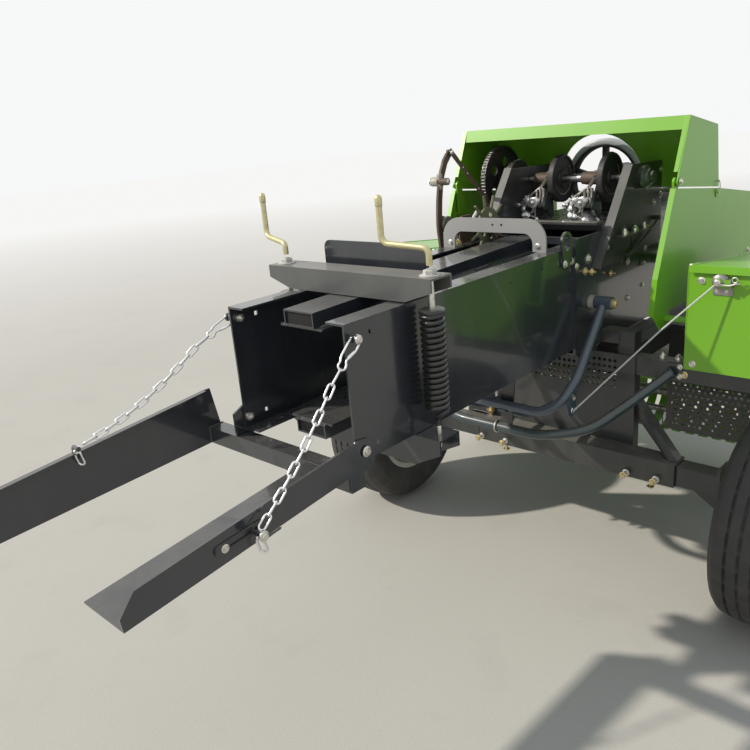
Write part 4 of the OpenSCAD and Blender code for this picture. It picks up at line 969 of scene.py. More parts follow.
class BALER_OT_chamber(bpy.types.Operator):
    """Bolts, nuts, painted shade of small holes and of the rails' open ends, and welds of the bale chamber, its
    rails and the arch
    """

    bl_idname = "baler.chamber"
    bl_label = "Chamber hardware"

    def execute(self, context):
        s = sizes().bolt
        bolts("plate_bolts",
              heads(RIGHT, (240, 44, 1292, 0.85), (249, 1094, 1290, 1), (250, 1176, 1268, 0.9),
                    (240, 1158, 1289, 1), (250, 1264, 1279, 1.25), (253, 28, 985, 1.1),
                    (272, 18, 1300, 0.9), size=s)
              + heads(LEFT, (-253, 28, 985, 1.1), (-272, 18, 1300, 0.9), (-249, 1094, 1290, 1),
                      (-250, 1176, 1268, 1), (-250, 1264, 1279, 1.25), size=s))
        bolts("inner_nuts", heads(RIGHT, (-234, 28, 1300, 0.9), (-234, 12, 992, 0.9), size=s)
              + heads(LEFT, (234, 28, 1300, 0.9), (234, 12, 992, 0.9), size=s), kind="nut")
        nuts = [(276, 1240, 1237), (250, 1240, 1237), (258, 1430, 1194)]
        studs = [rod((250, 1240, 1237), (292, 1240, 1237), 5.2), rod((258, 1430, 1194), (276, 1430, 1194), 4.6),
                 hex_head(1.0, 0.7, 0.16).at(nuts, X, 0.3, [9.0, 10.0, 8.0])]
        piece("long_studs", studs, "bolt_yellow")
        arch = heads(UP, (175, 1066, 1339, 1.15), (-206, 1066, 1339, 1.15), (-206, 1086, 1339, 1), size=s)
        bolts("arch_bolts", arch, "bolt_yellow", kind="nut")
        # painted shade of small drilled holes: flat dark rounds on the right plate
        dark = turned([[0, -0.3], [1, -0.3], [1, 0.15], [0, 0.15]], 20)
        piece("drilled_hole_shade", dark.at([(240, 953, 1301), (240, 760, 1290)], X, 0, [4.5, 3.2]), "black_hole")
        # angle feet behind the arch, a short one each side
        feet = [box_shape((x - 16, low, 1339.3), (x + 16, high, top))
                for low, high, top in ((1048, 1080, 1344), (1044.3, 1048.6, 1372)) for x in (175, -206)]
        piece("arch_feet", feet, "arch_grey", bevel=0.8)
        bolts("arch_foot_bolts", heads(REAR, (175, 1036, 1360, 0.8), (-206, 1036, 1360, 0.8), size=s))
        paths = mirrored(*[[(240.5, y, low), (240.5, y, 1338)] for y, low in ((1083, 1292), (1143, 1294))],
                         *[[(210, y, 1339.5), (130, y, 1339.5)] for y in (388.5, 379.5)])
        for x, y0, z0, y1, z1 in ((-61, 80, 1290.7, 150, 1293), (61, 80, 1290.7, 150, 1293),
                                  (61, 420, 1301, 500, 1303), (61, 820, 1311, 900, 1313)):
            paths.append([(x, y0, z0), (x, y1, z1)])
        welds("chamber_welds", paths)
        # open rear ends of the two flat tubes: a thin wall round a dark inside, which is a flat near-black
        # plate of painted shade
        ends = []
        for low, high in ((1291, 1336), (963, 1006)):
            rings = [[(x * w, y, z) for x, z in ((-1, low + e), (1, low + e), (1, high - e), (-1, high - e))]
                     for w, e, y in ((60, 0, 65.0), (60, 0, 59.0), (55.5, 4.5, 59.0), (55.5, 4.5, 65.0))]
            ends.append(Shape(rings, grid_faces(4, 4, wrap_rows=True)))
        piece("rail_ends", ends, "chamber_paint")
        # flat near-black plates inside the walls: painted shade of the tubes' insides
        insides = [box_shape((-56, 64.2, low), (56, 64.9, high)) for low, high in ((1295, 1332), (967, 1002))]
        piece("rail_inside_shade", insides, "black_hole")
        return {"FINISHED"}


def chute_foot(y):
    """Height of the right arm's lower edge at a distance along the chute."""
    return 863 + (y + 709) * (932 - 863) / (709 - 35)


class BALER_OT_chute(bpy.types.Operator):
    """Slotted bar, gusset welds and hook nuts of the bale chute"""

    bl_idname = "baler.chute"
    bl_label = "Chute hardware"

    def execute(self, context):
        # slotted bar on the right arm's outer face: an outline with a long hole, drawn as a band
        a = np.linspace(0, 2 * np.pi, 48, endpoint=False)
        turn = math.atan2(10, 117)
        c, s = math.cos(turn), math.sin(turn)
        around, hole = (np.stack([half * np.sign(np.cos(a)) + r * np.cos(a), r * np.sin(a)], 1)
                        for half, r in ((58.5, 13), (46, 5)))
        rings = []
        for outline, x in ((around, 248.1), (around, 253.0), (hole, 253.0), (hole, 248.1)):
            rings.append(np.concatenate([np.full((48, 1), x), outline @ [[c, s], [-s, c]] + [-402, 934]], 1))
        piece("slotted_bar", Shape(rings, grid_faces(4, 48, wrap_rows=True)), "frame_paint", "chute")
        bolts("chute_nuts", heads(RIGHT, (294, -366, 936, 9.0), (253, -446, 930, 7.0)), body="chute")
        paths = []
        for y in (-655, -494, -331, -166):
            low = chute_foot(y)
            for face in (y - 3.5, y + 3.5):
                paths.append([(240.6, face, low + 5), (240.6, face, low + 44)])
                paths.append([(236, face, low + 4.6), (184, face, low + 4.6)])
        for x in (240.5, -385.5):
            paths.append([(x, -35.5, 886), (x, -35.5, 935), (x, 18.5, 937.5)])
        paths.append([(248.5, -340, 897), (248.5, -280, 903)])
        welds("chute_welds", paths, body="chute")
        return {"FINISHED"}


STAR = np.array([-130.0, 1180.0, 1404.0])
STAR_TEETH = 11


class BALER_OT_metering(bpy.types.Operator):
    """Shaft, collars and set screws of the metering wheel and its trip arm"""

    bl_idname = "baler.metering"
    bl_label = "Metering wheel"

    def execute(self, context):
        axis = STAR * [0, 1, 1]
        sleeve = [[14.0, -325.5], [14.7, -325.5], [14.7, -244.0], [14.0, -244.0], [14.0, -325.5]]
        washer = [[29, -0.4], [33.4, -0.4], [33.4, 1.2], [29, 1.2], [29, -0.4]]
        parts = [spun(sleeve, 32, axis, RIGHT)]
        parts += [spun(washer, 40, axis + x * X, RIGHT) for x in (-356.2, -325.8)]
        parts.append(hex_head(9, 6).at([axis - 356 * X], [LEFT]))
        piece("metering_shaft", parts, "shaft_steel", "star_wheel")
        rows = bolt_ring(STAR + 4 * X, 17, 5, RIGHT, 4.0, 0.3)
        bolts("wheel_hub_bolts", rows, body="star_wheel", kind="dome")
        # pale worn edges of the teeth
        edges = []
        for k in np.radians(360 / STAR_TEETH * np.arange(STAR_TEETH) + 3.4):
            out, across = np.array([0, math.cos(k), math.sin(k)]), np.array([0, -math.sin(k), math.cos(k)])
            for s in BOTH:
                root, end = STAR + out * 72 + across * s * 5.3, STAR + out * 116 + across * s * 3.0
                edges.append(rod(root, end, 1.7, 8))
            tip = STAR + out * 116.4
            edges.append(rod(tip - across * 3 - X * 3, tip + across * 3 + X * 3, 1.6, 8))
        piece("worn_teeth", edges, "olive_iron", "star_wheel")
        # trip arm: collar with its bolt, strap rivets and the pin's nut
        bolts("trip_bolts", [((-381, 1160, 1575), LEFT, 10.5), ((-299, 1160, 1575), RIGHT, 7.5),
                             ((-349, 1230, 1680), LEFT, 8.0), ((-327, 1230, 1680), RIGHT, 6.5)])
        rivets = heads(RIGHT, *[(-330, y, z, 3.6) for y, z in ((1308, 1616), (1336, 1590), (1412, 1520))])
        bolts("strap_rivets", rivets, "chain_zinc", kind="dome")
        collar = spun([[14.0, -18], [17.5, -17], [18.5, -14], [18.5, 14], [17.5, 17], [14.0, 18]], 32,
                      (-360, 1160, 1575), RIGHT)
        tip = capsule((-341, 1160, 1552), (-341, 1160, 1598), 12.0, 18)
        piece("trip_collar", [collar, tip], "trip_cream")
        spring = tube(coil_path((0, 0), 7.0, 0, 70, 16, 16), 1.5, 8, ref=Z)
        piece("trip_spring", spring.at([(-262, 1240, 1392)], [(0.1, 0.6, 0.65)]), "chain_zinc")
        return {"FINISHED"}

KNOTTERS = (-165.0, 55.0)
SHAFT = np.array([0.0, 1685.0, 1530.0])
# sections of the knotter's bell sleeve and of its cam disc: radius and distance along the shaft
BELL = [[17.3, -50], [23, -50], [25, -48], [25, -38], [27, -35], [27, 18], [28, 26], [33, 36], [44, 46],
        [62, 56], [80, 63], [88, 68], [89, 72], [86, 73], [76, 68], [58, 61], [40, 55], [30, 53], [17.3, 53],
        [17.3, -50]]
CAM = [[17.3, 58.5], [38, 58.5], [38, 70], [84, 72], [89, 60], [97, 58.5], [98, 60], [98, 82], [96, 84],
       [88, 84], [86, 78], [40, 77], [36, 84], [17.3, 84], [17.3, 58.5]]
# side view of the bill hook's hanger plate: places along and up
HANGER = [(1712, 1522), (1704, 1548), (1685, 1558), (1662, 1552), (1640, 1524), (1618, 1486), (1600, 1462),
          (1586, 1440), (1580, 1424), (1590, 1412), (1610, 1412), (1626, 1400), (1640, 1376), (1654, 1369),
          (1664, 1380), (1664, 1410), (1660, 1444), (1668, 1476), (1690, 1500)]
DISC_SPIKES = 9


def on_shaft(profile, x, sides=48):
    """A profile of radius and distance turned about the knotter shaft."""
    return spun(profile, sides, SHAFT + x * X, RIGHT)


class BALER_OT_knotters(bpy.types.Operator):
    """The two knotters: castings, bells, cams, twine discs, bill hooks, springs and screws"""

    bl_idname = "baler.knotters"
    bl_label = "Knotters"

    def execute(self, context):
        brown, cams, steel, bright, green, screws = [], [], [], [], [], []
        for k in KNOTTERS:
            brown.append(on_shaft(BELL, k, 72))
            # ribs inside and outside the bell
            for a in np.radians([35, 155, 275]):
                d = np.array([0, math.cos(a), math.sin(a)])
                rib = [SHAFT + (k + x) * X + d * r for x, r in ((10, 24), (34, 34), (58, 68))]
                brown.append(bar(rib, 14, 5.0, steps=8))
            self.cam(k, cams, steel)
            self.casting(k, steel)
            self.disc(k, bright)
            screws += [((k + x, y, z), way, r) for x, y, z, way, r in (
                (-42, 1560, 1417, (-0.2, -1, 0.1), 8.0), (-40, 1566, 1392, (0.1, -1, 0.3), 9.0),
                (-24, 1566, 1390, (0.1, -1, 0.4), 6.5), (20, 1562, 1374, (0, -1, 0.2), 5.5),
                (2, 1558, 1442, (0, -1, -0.12), 6.0), (46, 1640, 1462, RIGHT, 8.0),
                (8, 1685, 1556, UP, 6.0), (-82, 1584, 1430, REAR, 6.0))]
            # hanger plate of the bill hook: a curved arm with a round boss
            green.append(plate(smooth_path([HANGER[-1]] + HANGER + [HANGER[0]], 9, 3), k + 36, k + 46, X))
            boss = [(1640 + 10 * math.cos(t), 1462 + 10 * math.sin(t)) for t in np.linspace(0, 6.0, 24)]
            green.append(plate(boss, k + 46, k + 49, X))
        piece("knotter_sleeves", brown, "brown_iron", replaces=("knotters",))
        piece("knotter_cams", cams, "dark_iron")
        piece("knotter_frames", steel, "knot_steel")
        piece("twine_discs", bright, "bright_cast", bevel=1.2, smooth=35)
        piece("hook_hangers", green, "hanger_grey", bevel=1.6, smooth=35)
        bolts("knotter_nuts", screws, "chain_zinc")
        shaft = [[0, -470], [15, -470], [17, -468], [17, 278], [15, 280], [0, 280]]
        piece("knotter_shaft", on_shaft(shaft, 0, 40), "shaft_steel")
        return {"FINISHED"}

    def cam(self, k, cams, steel):
        """Cam disc: a heavy rim with a few teeth, a web with a hub, and a raised track."""
        cams.append(on_shaft(CAM, k, 96))
        teeth = np.radians(np.arange(58, 124, 6.0))
        out = np.stack([0 * teeth, 98.5 * np.cos(teeth), 98.5 * np.sin(teeth)], 1)
        tooth = turned([[0, -1], [3.4, -1], [2.2, 3.2], [0, 3.2]], 8)
        cams.append(tooth.at(SHAFT + (k + 72.0) * X + out, out))
        track = ring_path(SHAFT + (k + 78.5) * X, 66, X, 60, 0.4, 3.6)
        steel.append(tube(track, 3.2, 8, ref=X))

    def casting(self, k, steel):
        """Open A-shaped casting behind the shaft, with its bill hook, arms and springs."""
        foot, apex = np.array([k - 80, 1595, 1430.0]), np.array([k + 24, 1595, 1502.0])
        steel += [
            bar([foot, [k - 30, 1595, 1468], apex, [k + 24, 1640, 1528]], 16, 8.5, 14, squash=(1.0, 0.72)),
            bar([apex, [k + 36, 1595, 1476], [k + 33, 1592, 1440], [k + 22, 1590, 1424]], 16, 6.5, 12),
            bar([foot, [k - 46, 1595, 1426], [k + 30, 1593, 1428]], 10, 7.0, 12, 5, squash=(1.0, 0.8)),
            rod((k - 92, 1595, 1430), (k - 66, 1595, 1430), 10, 14),
            rod((k - 4, 1580, 1432), (k - 4, 1580, 1406), 7.0, 14),
            bar([[k - 4, 1580, 1412], [k - 6, 1572, 1400], [k - 11, 1560, 1399], [k - 15, 1543, 1410]], 6,
                np.concatenate([np.full(7, 5.2), np.linspace(5, 2.2, 7)])),
            bar([[k - 50, 1572, 1420], [k - 40, 1574, 1392], [k - 8, 1572, 1386], [k + 20, 1572, 1374]],
                9, 5.5),
            bar([[k - 44, 1574, 1420], [k - 36, 1580, 1440], [k - 28, 1590, 1450]], 8, 5.0, steps=5),
            tube(coil_path((k + 12, 1584), 5.0, 1452, 1496, 11, 14), 1.3, 8, ref=Z),
            tube(coil_path((k + 44, 1584), 5.0, 1462, 1500, 11, 14), 1.3, 8, ref=Z),
            bar([[k + 22, 1588, 1506], [k + 30, 1580, 1484], [k + 29, 1576, 1446], [k + 8, 1570, 1420],
                 [k + 12, 1568, 1380]], 12, 3.4),
            bar([[k + 30, 1590, 1502], [k + 40, 1584, 1500], [k + 46, 1590, 1488], [k + 42, 1600, 1474]],
                8, 2.6),
        ]

    def disc(self, k, bright):
        """Twine disc, its radius a mean plus the cosine of nine times the angle, a drum whose
        radius ripples along its length, and a cone on their pin."""
        a = np.linspace(0, 2 * np.pi, 8 * DISC_SPIKES, endpoint=False)
        spike = 18.5 + 6.0 * np.clip(1.8 * np.cos(DISC_SPIKES * a), -1, 1)
        bright.append(plate(np.stack([spike * np.cos(a) + k - 28, spike * np.sin(a) + 1450], 1), 1571, 1588, Y))
        h = np.linspace(0, 30, 31)
        ribbed = np.stack([19.5 + 1.8 * np.cos(h * 2 * np.pi / 6), h], 1)
        drum = np.concatenate([[[0, 0]], ribbed, [[0, 30]]])
        bright.append(spun(drum, 40, (k + 3, 1559, 1442), (0, 1, 0.12)))
        bright.append(spun([[0, -6], [7, -6], [9, -2], [12, 0], [0, 0]], 24, (k - 28, 1571, 1450), FORE))


def belt(circles, count):
    """Places round two circles that a chain runs over, evenly spaced: for each direction the
    farthest of the two circles' points, which is their hull, cut into equal lengths."""
    a = np.linspace(0, 2 * np.pi, 2000, endpoint=False)
    way = np.stack([np.cos(a), np.sin(a)], 1)
    circles = np.array(circles)
    pick = (way @ circles[:, :2].T + circles[:, 2]).argmax(1)
    line = circles[pick, :2] + way * circles[pick, 2:]
    return spaced(np.concatenate([line, line[:1]]), lambda whole: count + 1)[0][:-1]


# knotter drive chain: two circles as place along, place up and radius, and its links
SPROCKETS, LINKS = [(1685, 1530, 145.0), (1850, 1400, 27.0)], 76


class BALER_OT_drive(bpy.types.Operator):
    """Knotter drive: chain rollers and plates, clutch studs, bearings and the frame's bolts"""

    bl_idname = "baler.drive"
    bl_label = "Knotter drive"

    def execute(self, context):
        at = belt(SPROCKETS, LINKS)
        following = np.roll(at, -1, 0)
        spin = np.arctan2(*(following - at).T[::-1])
        middle = (at + following) / 2
        rollers = turned([[0, -9], [3.0, -9], [3.0, -7], [5.2, -7], [5.2, 7], [3.0, 7], [3.0, 9], [0, 9]], 12)
        chain = [rollers.at(np.c_[np.full(LINKS, -394.0), at], RIGHT)]
        n = 20
        b = np.linspace(0, 2 * np.pi, n, endpoint=False)
        outline = [9.2 * np.cos(b) + 3.2 * np.sign(np.cos(b)), (4.4 + 1.2 * np.cos(b) ** 2) * np.sin(b)]
        side = plate(np.stack(outline, 1), -0.8, 0.8, Z)
        fans = [(k * n + j, k * n + (j + 1) % n, 2 * n + k) for k in (0, 1) for j in range(n)]
        link = Shape(np.concatenate([side.v, [[0, 0, -0.8], [0, 0, 0.8]]]), side.q, fans)
        for x, shift in ((-405.4, 0), (-384.4, 0), (-403.4, 1), (-386.4, 1)):
            chain.append(link.at(np.c_[np.full(LINKS // 2, x), middle[shift::2]], RIGHT, spin[shift::2]))
        piece("drive_chain", chain, "chain_oiled")
        bolts("clutch_studs", bolt_ring(SHAFT - 334 * X, 62, 6, LEFT, 7.5, 0.2), "chain_zinc", kind="nut")
        rim = on_shaft([[83.5, -326.4], [84.6, -326.4], [84.8, -318], [83.5, -318], [83.5, -326.4]], 0, 72)
        teeth = np.arange(40) * 2 * np.pi / 40
        out = np.stack([0 * teeth, 84 * np.cos(teeth), 84 * np.sin(teeth)], 1)
        knob = turned([[0, -1], [3.6, -1], [3.2, 2], [0, 2.6]], 8).at(SHAFT - 309 * X + out, out)
        piece("clutch_rim", [rim, knob], "shaft_steel")
        # flange bearing on the right plate: a round dish and a locking ring
        dish = [[0, 274], [46, 274], [47, 276], [44, 281], [34, 286], [32, 294], [26, 298], [0, 298]]
        ring = [[0, 298], [22, 298], [23, 300], [23, 308], [21, 310], [0, 310]]
        piece("shaft_bearing", [on_shaft(dish, 0), on_shaft(ring, 0, 40)], "hanger_grey")
        s = sizes().bolt
        rows = bolt_ring(SHAFT + 274 * X, 40, 4, RIGHT, 6.5, 0.5)
        rows += heads(RIGHT, (258, 1577, 1213, 1), (258, 1730, 1177, 0.9), (258, 1806, 1417, 1),
                      (258, 1868, 1545, 1), (258, 1872, 1441, 1), (258, 1400, 1300, 0.8),
                      (258, 1738, 1240, 0.8), (250, 1738, 1085, 0.9), (250, 1600, 1060, 1),
                      (250, 1950, 1100, 1), size=s)
        rows += heads(LEFT, (-258, 1577, 1213, s), (-258, 1730, 1260, s), (-258, 1400, 1300, s))
        bolts("knotter_frame_bolts", rows)
        bolts("deck_bolts", [((279, y, 1332), UP, s) for y in (1500, 1590, 1680)], kind="nut")
        # slots as flat dark capsules, painted shade of the openings, and a lever that stands on the right plate
        slots = [capsule((258.2, 1437, 1286), (258.2, 1437, 1302), 4.0, 12),
                 capsule((258.2, 1605, 1274), (258.2, 1605, 1300), 4.5, 12)]
        for part in slots:
            part.v[:, 0] = 258 + (part.v[:, 0] - 258) * 0.12
        piece("frame_slot_shade", slots, "black_hole")
        arm = [[262, 1560, 1240], [266, 1640, 1262], [270, 1760, 1312], [272, 1830, 1352]]
        lever = [bar(arm, 40, 5.0, 12, 8), rod((258, 1560, 1240), (276, 1560, 1240), 9),
                 rod((258, 1830, 1352), (280, 1830, 1352), 9)]
        piece("frame_lever", lever, "frame_paint")
        # welds at the front crossbeam of the chamber and along the deck
        paths = mirrored([(249, 1374.5, 1401), (249, 1324, 1401)])
        paths.append([(258.6, 1445, 1325), (258.6, 1720, 1325)])
        welds("frame_welds", paths, finish="frame_paint")
        return {"FINISHED"}


# outer faces of the hood's side panels and the way each looks
PANELS = ((475, 1), (-525, -1))


class BALER_OT_hood(bpy.types.Operator):
    """Hood latches, hinge bolts and the stiffener inside the lid"""

    bl_idname = "baler.hood"
    bl_label = "Hood hardware"

    def execute(self, context):
        s = sizes().bolt
        rows, latch, pins, catches = [], [], [], []
        for x, way in PANELS:
            rows.append(((x + way * 6, 1508, 1526), way * X, s * 0.9))
            rows += [((x, y, 1140), way * X, s) for y in (2050, 2340)]
            low, high = sorted((x + way * 0.4, x + way * 4.0))
            latch.append(box_shape((low, 1884, 1428), (high, 1912, 1458)))
            pins.append(rod((x, 1898, 1446), (x + way * 11, 1898, 1446), 5.0, 14))
            clip = [[x + way * 9, 1898, 1446], [x + way * 13, 1898, 1468], [x + way * 9, 1899, 1486]]
            pins.append(bar(clip, 6, 2.4, 8))
            catches.append(rod((x, 1899, 1490), (x + way * 9, 1899, 1490), 4.4, 12))
        bolts("hood_bolts", rows)
        piece("latch_plates", latch, "hood_green", bevel=0.8)
        piece("latch_pins", pins, "bolt_zinc")
        piece("lid_catches", catches, "bolt_zinc", "hood_lid")
        # small latch rod inside the left panel
        rods = [rod((-521, 1524, 1440), (-506, 1524, 1440), 6.0, 12),
                rod((-509, 1500, 1440), (-509, 1556, 1440), 3.0, 10)]
        piece("inner_latch", rods, "bolt_zinc")
        # folded stiffener under the roof, inside the lid
        ribs = [box_shape((-515, 1700, 1712), (465, 1703, 1724)),
                box_shape((-515, 1703, 1712), (465, 1716, 1714.5))]
        piece("roof_rib", ribs, "hood_green", "hood_lid", bevel=0.6)
        return {"FINISHED"}


# the lid's rear edge and its fall towards the front
LID_Y, LID_Z, SLOPE = 1330, 1255, math.atan((1255 - 1180) / (2030 - 1330))


def on_lid(points):
    """Places on the twine box's sloping lid: y runs down the slope from its rear edge."""
    x, y, z = np.atleast_2d(np.asarray(points, float)).T
    c, s = math.cos(SLOPE), math.sin(SLOPE)
    return np.stack([x, LID_Y + y * c + z * s, LID_Z - y * s + z * c], 1)


TWINE_FROM, TWINE_BEND, TWINE_TO = (699, 1297, 1216), (540, 1225, 1047), (306, 1054, 762)


class BALER_OT_boxes(bpy.types.Operator):
    """Twine boxes: lid edges, hinge nuts, the twine's tensioner, bolts, and the twine itself"""

    bl_idname = "baler.boxes"
    bl_label = "Twine boxes"

    def execute(self, context):
        s = sizes().bolt
        rows = heads(REAR, (636, 1330, 1213, 0.95), (689, 1330, 1181, 0.75), (721, 1330, 1183, 0.75),
                     (-640, 1330, 1213, 0.9), (620, 1330, 910, 0.9), (940, 1330, 910, 0.9),
                     (-620, 1330, 910, 0.9), (-940, 1330, 910, 0.9), size=s)
        bolts("box_bolts", rows)
        self.tensioner()
        for side, name in SIDES:
            # raised rim and grip of the lid
            rim = on_lid([[side * x, y, 9.5] for x, y in ((602, 2), (976, 2), (976, 700), (602, 700))])
            edges = zip(rim, np.roll(rim, -1, 0))
            path = np.concatenate([np.linspace(a, b, 14, endpoint=False) for a, b in edges])
            grip = on_lid([[side * x, y, -6] for x, y in ((984, 300), (996, 300), (996, 420), (984, 420))])
            piece("lid_rim_" + name, [tube(path, 2.0, 8, ref=Z, closed=True), bar(grip, 10, 4.0)], "hood_green",
                  "twine_lid_" + name)
            bolts("hinge_nuts_" + name, [(on_lid([side * 578, y, 0])[0], REAR, 5.5) for y in (60, 590)])
        # folded corners of each box, a bead up each rear edge
        edges = [rod((x, 1331, 890), (x, 1331, 1246), 2.6, 10) for x in (592, 973, -592, -973)]
        piece("box_corner_beads", edges, "hood_green")
        self.twine()
        return {"FINISHED"}

    def tensioner(self):
        """Two dished discs on a bolt, a spring, a nut and the bent bracket that holds them."""
        dish = [[0, 0], [9, 0], [17, 2.0], [23, 5.5], [24, 7.0], [22.5, 8.2], [17, 5.4], [9, 3.4], [0, 3.4]]
        back = [[0, 0], [26, 0], [27, 2], [27, 7], [24, 9], [0, 9]]
        discs = [spun(profile, 40, (700, y, 1218), way)
                 for profile, y, way in ((dish, 1321, REAR), (dish, 1304, FORE), (back, 1330, REAR))]
        piece("tension_discs", discs, "knot_steel")
        spring = tube(coil_path((0, 0), 7.5, 0, 14, 5, 18), 1.4, 8, ref=Z)
        stem = [rod((700, 1322, 1218), (700, 1286, 1218), 4.2, 14), spring.at([(700, 1303, 1218)], [REAR]),
                hex_head(7.5, 6).at([(700, 1290, 1218)], [REAR]),
                bar([[706, 1300, 1210], [738, 1300, 1208], [756, 1304, 1216], [766, 1312, 1214]], 8, 3.6),
                tube(ring_path((752, 1304, 1228), 8.5, Y, 20), 2.4, 8, closed=True)]
        piece("tension_stem", stem, "bolt_zinc")
        bracket = [box_shape((676, 1326, 1168), (742, 1329.8, 1200)),
                   box_shape((738.4, 1300, 1196), (741.5, 1329.8, 1230))]
        piece("tension_bracket", bracket, "knot_steel", bevel=0.8)

    def twine(self):
        """The twine as a tube along its taut way, with the length along it and the turn about it kept in a
        layer named along.
        """
        corners = np.array([TWINE_FROM, TWINE_BEND, TWINE_TO], float)
        path = np.concatenate([np.linspace(corners[0], corners[1], 60, endpoint=False),
                               np.linspace(corners[1], corners[2], 90)])
        r = sizes().twine
        obj = piece("taut_twine", tube(path, r, 12), "twine_white", replaces=("twine",))
        along = np.concatenate([[0], np.cumsum(np.linalg.norm(np.diff(path, axis=0), axis=1))]) * MM
        spots = row(path)
        corner = np.empty(len(obj.data.loops), int)
        obj.data.loops.foreach_get("vertex_index", corner)
        v = np.empty(len(obj.data.vertices) * 3)
        obj.data.vertices.foreach_get("co", v)
        v = v.reshape(-1, 3)
        near = np.linalg.norm(v[:, None] - spots[None], axis=2).argmin(1)
        out = v - spots[near]
        turn = (np.arctan2(out[:, 2], out[:, 0]) / (2 * np.pi)) % 1.0
        layer = obj.data.uv_layers.new(name="along")
        layer.data.foreach_set("uv", np.stack([along[near], turn], 1)[corner].ravel())


YOKE = (1282.0, 1115.0)
NEEDLE_R = 467


class BALER_OT_yoke(bpy.types.Operator):
    """Needle yoke and its guard as smooth tubes, with bushes, guides, needles and nuts"""

    bl_idname = "baler.yoke"
    bl_label = "Needle yoke"

    def execute(self, context):
        half = [[305, 1282, 1115], [305, 1080, 880], [286, 1000, 806], [220, 975, 762]]
        parts = [bar([[-x, y, z] for x, y, z in half] + half[::-1], 48, 18.0, 24, 10)]
        ends, nuts = [], []
        for side in BOTH:
            parts.append(rod((side * 272, *YOKE), (side * 338, *YOKE), 24.0, 32))
            ends.append(rod((side * 250.4, *YOKE), (side * 271, *YOKE), 25.0, 32))
            cap = [[0, 0], [17, 0], [17, 3], [12, 4], [12, 8], [0, 8]]
            ends.append(spun(cap, 24, (side * 338, *YOKE), side * X))
            nuts.append(((side * 346, *YOKE), side * X, 13.0))
        piece("yoke_tube", parts, "yoke_paint", replaces=("needle_yoke",))
        piece("yoke_bushes", ends, "trip_cream")
        bolts("yoke_nuts", nuts, "bolt_yellow")
        # needles: arcs round the pivot that taper at the tip, with an eye and a foot
        needles = []
        for x in KNOTTERS:
            a = np.radians(np.linspace(-131, -83, 40))
            arc = np.stack([np.full(40, x), YOKE[0] + NEEDLE_R * np.cos(a), YOKE[1] + NEEDLE_R * np.sin(a)], 1)
            width = 10.0 - 0.55 * np.clip(np.arange(40) - 30, 0, None)
            needles.append(tube(arc, 1.6 * width, 18, ref=X, squash=(1.0, 0.42)))
            needles.append(rod(arc[-4] - X * 7, arc[-4] + X * 7, 3.4, 10))
            needles.append(box_shape((x - 16, 960, 738), (x + 16, 990, 748)))
        piece("needles", needles, "yoke_paint")
        # twine guide on each arm: a plate with a smooth ring in its hole
        corners = [(1080, 866), (1004, 806), (1030, 742), (1074, 742), (1082, 800), (1080, 866)]
        outline = smooth_path(corners, 10, 4)
        for side, name in SIDES:
            faces = sorted((side * 297, side * 303))
            piece("twine_guide_" + name, plate(outline, *faces, X), "yoke_paint", bevel=0.8)
            piece("guide_ring_" + name, [hoop((x, 1052, 762), 8.5, 2.6) for x in faces], "chain_zinc")
        bolts("guide_bolts", heads(RIGHT, (303, 1044, 828, 6.5), (303, 1062, 806, 6.5)))
        self.guard()
        return {"FINISHED"}

    def guard(self):
        """Guard tube below the yoke, its feet on the rail, the plate it hangs from and its loop."""
        half = [[531, 1371, 847], [430, 1250, 749], [350, 1093, 678], [200, 1000, 655]]
        line = smooth_path(half + [[-x, y, z] for x, y, z in half[::-1]], 70, 14)
        piece("guard_tube", tube(line, 19.0, 24), "guard_paint", replaces=("yoke_guard",))
        feet = [box_shape((side * 540 - 28, 1379, 828), (side * 540 + 28, 1385, 884)) for side in BOTH]
        piece("guard_feet", feet, "guard_paint", bevel=1.0)
        bolts("guard_foot_bolts", [((side * 540 + dx, 1379, 828 + dz), REAR, 7.0)
                                   for side in BOTH for dx, dz in ((-19, 9), (19, 46), (19, 9))])
        rings = [ring_path((side * 531, 1374, 850), 20.5, (0.62, 0.62, 0.5), 28) for side in BOTH]
        welds("guard_welds", [np.concatenate([r, r[:1]]) for r in rings], finish="guard_paint")
        # plate from the lower rail down to the guard, and the U-bolt that holds the tube to it
        hanger = plate([(22, 668), (72, 672), (98, 961), (30, 961)], 1003, 1009, Y)
        piece("guard_hanger", hanger, "frame_paint", bevel=0.8)
        piece("guard_loop", hoop((8, 1000, 655), 22.5, 3.4, X, 36), "bolt_zinc")


# long clamp bolts of the axle: place across and height of each
CLAMPS = ((405, 440), (523, 443), (-277, 441), (-152, 444))


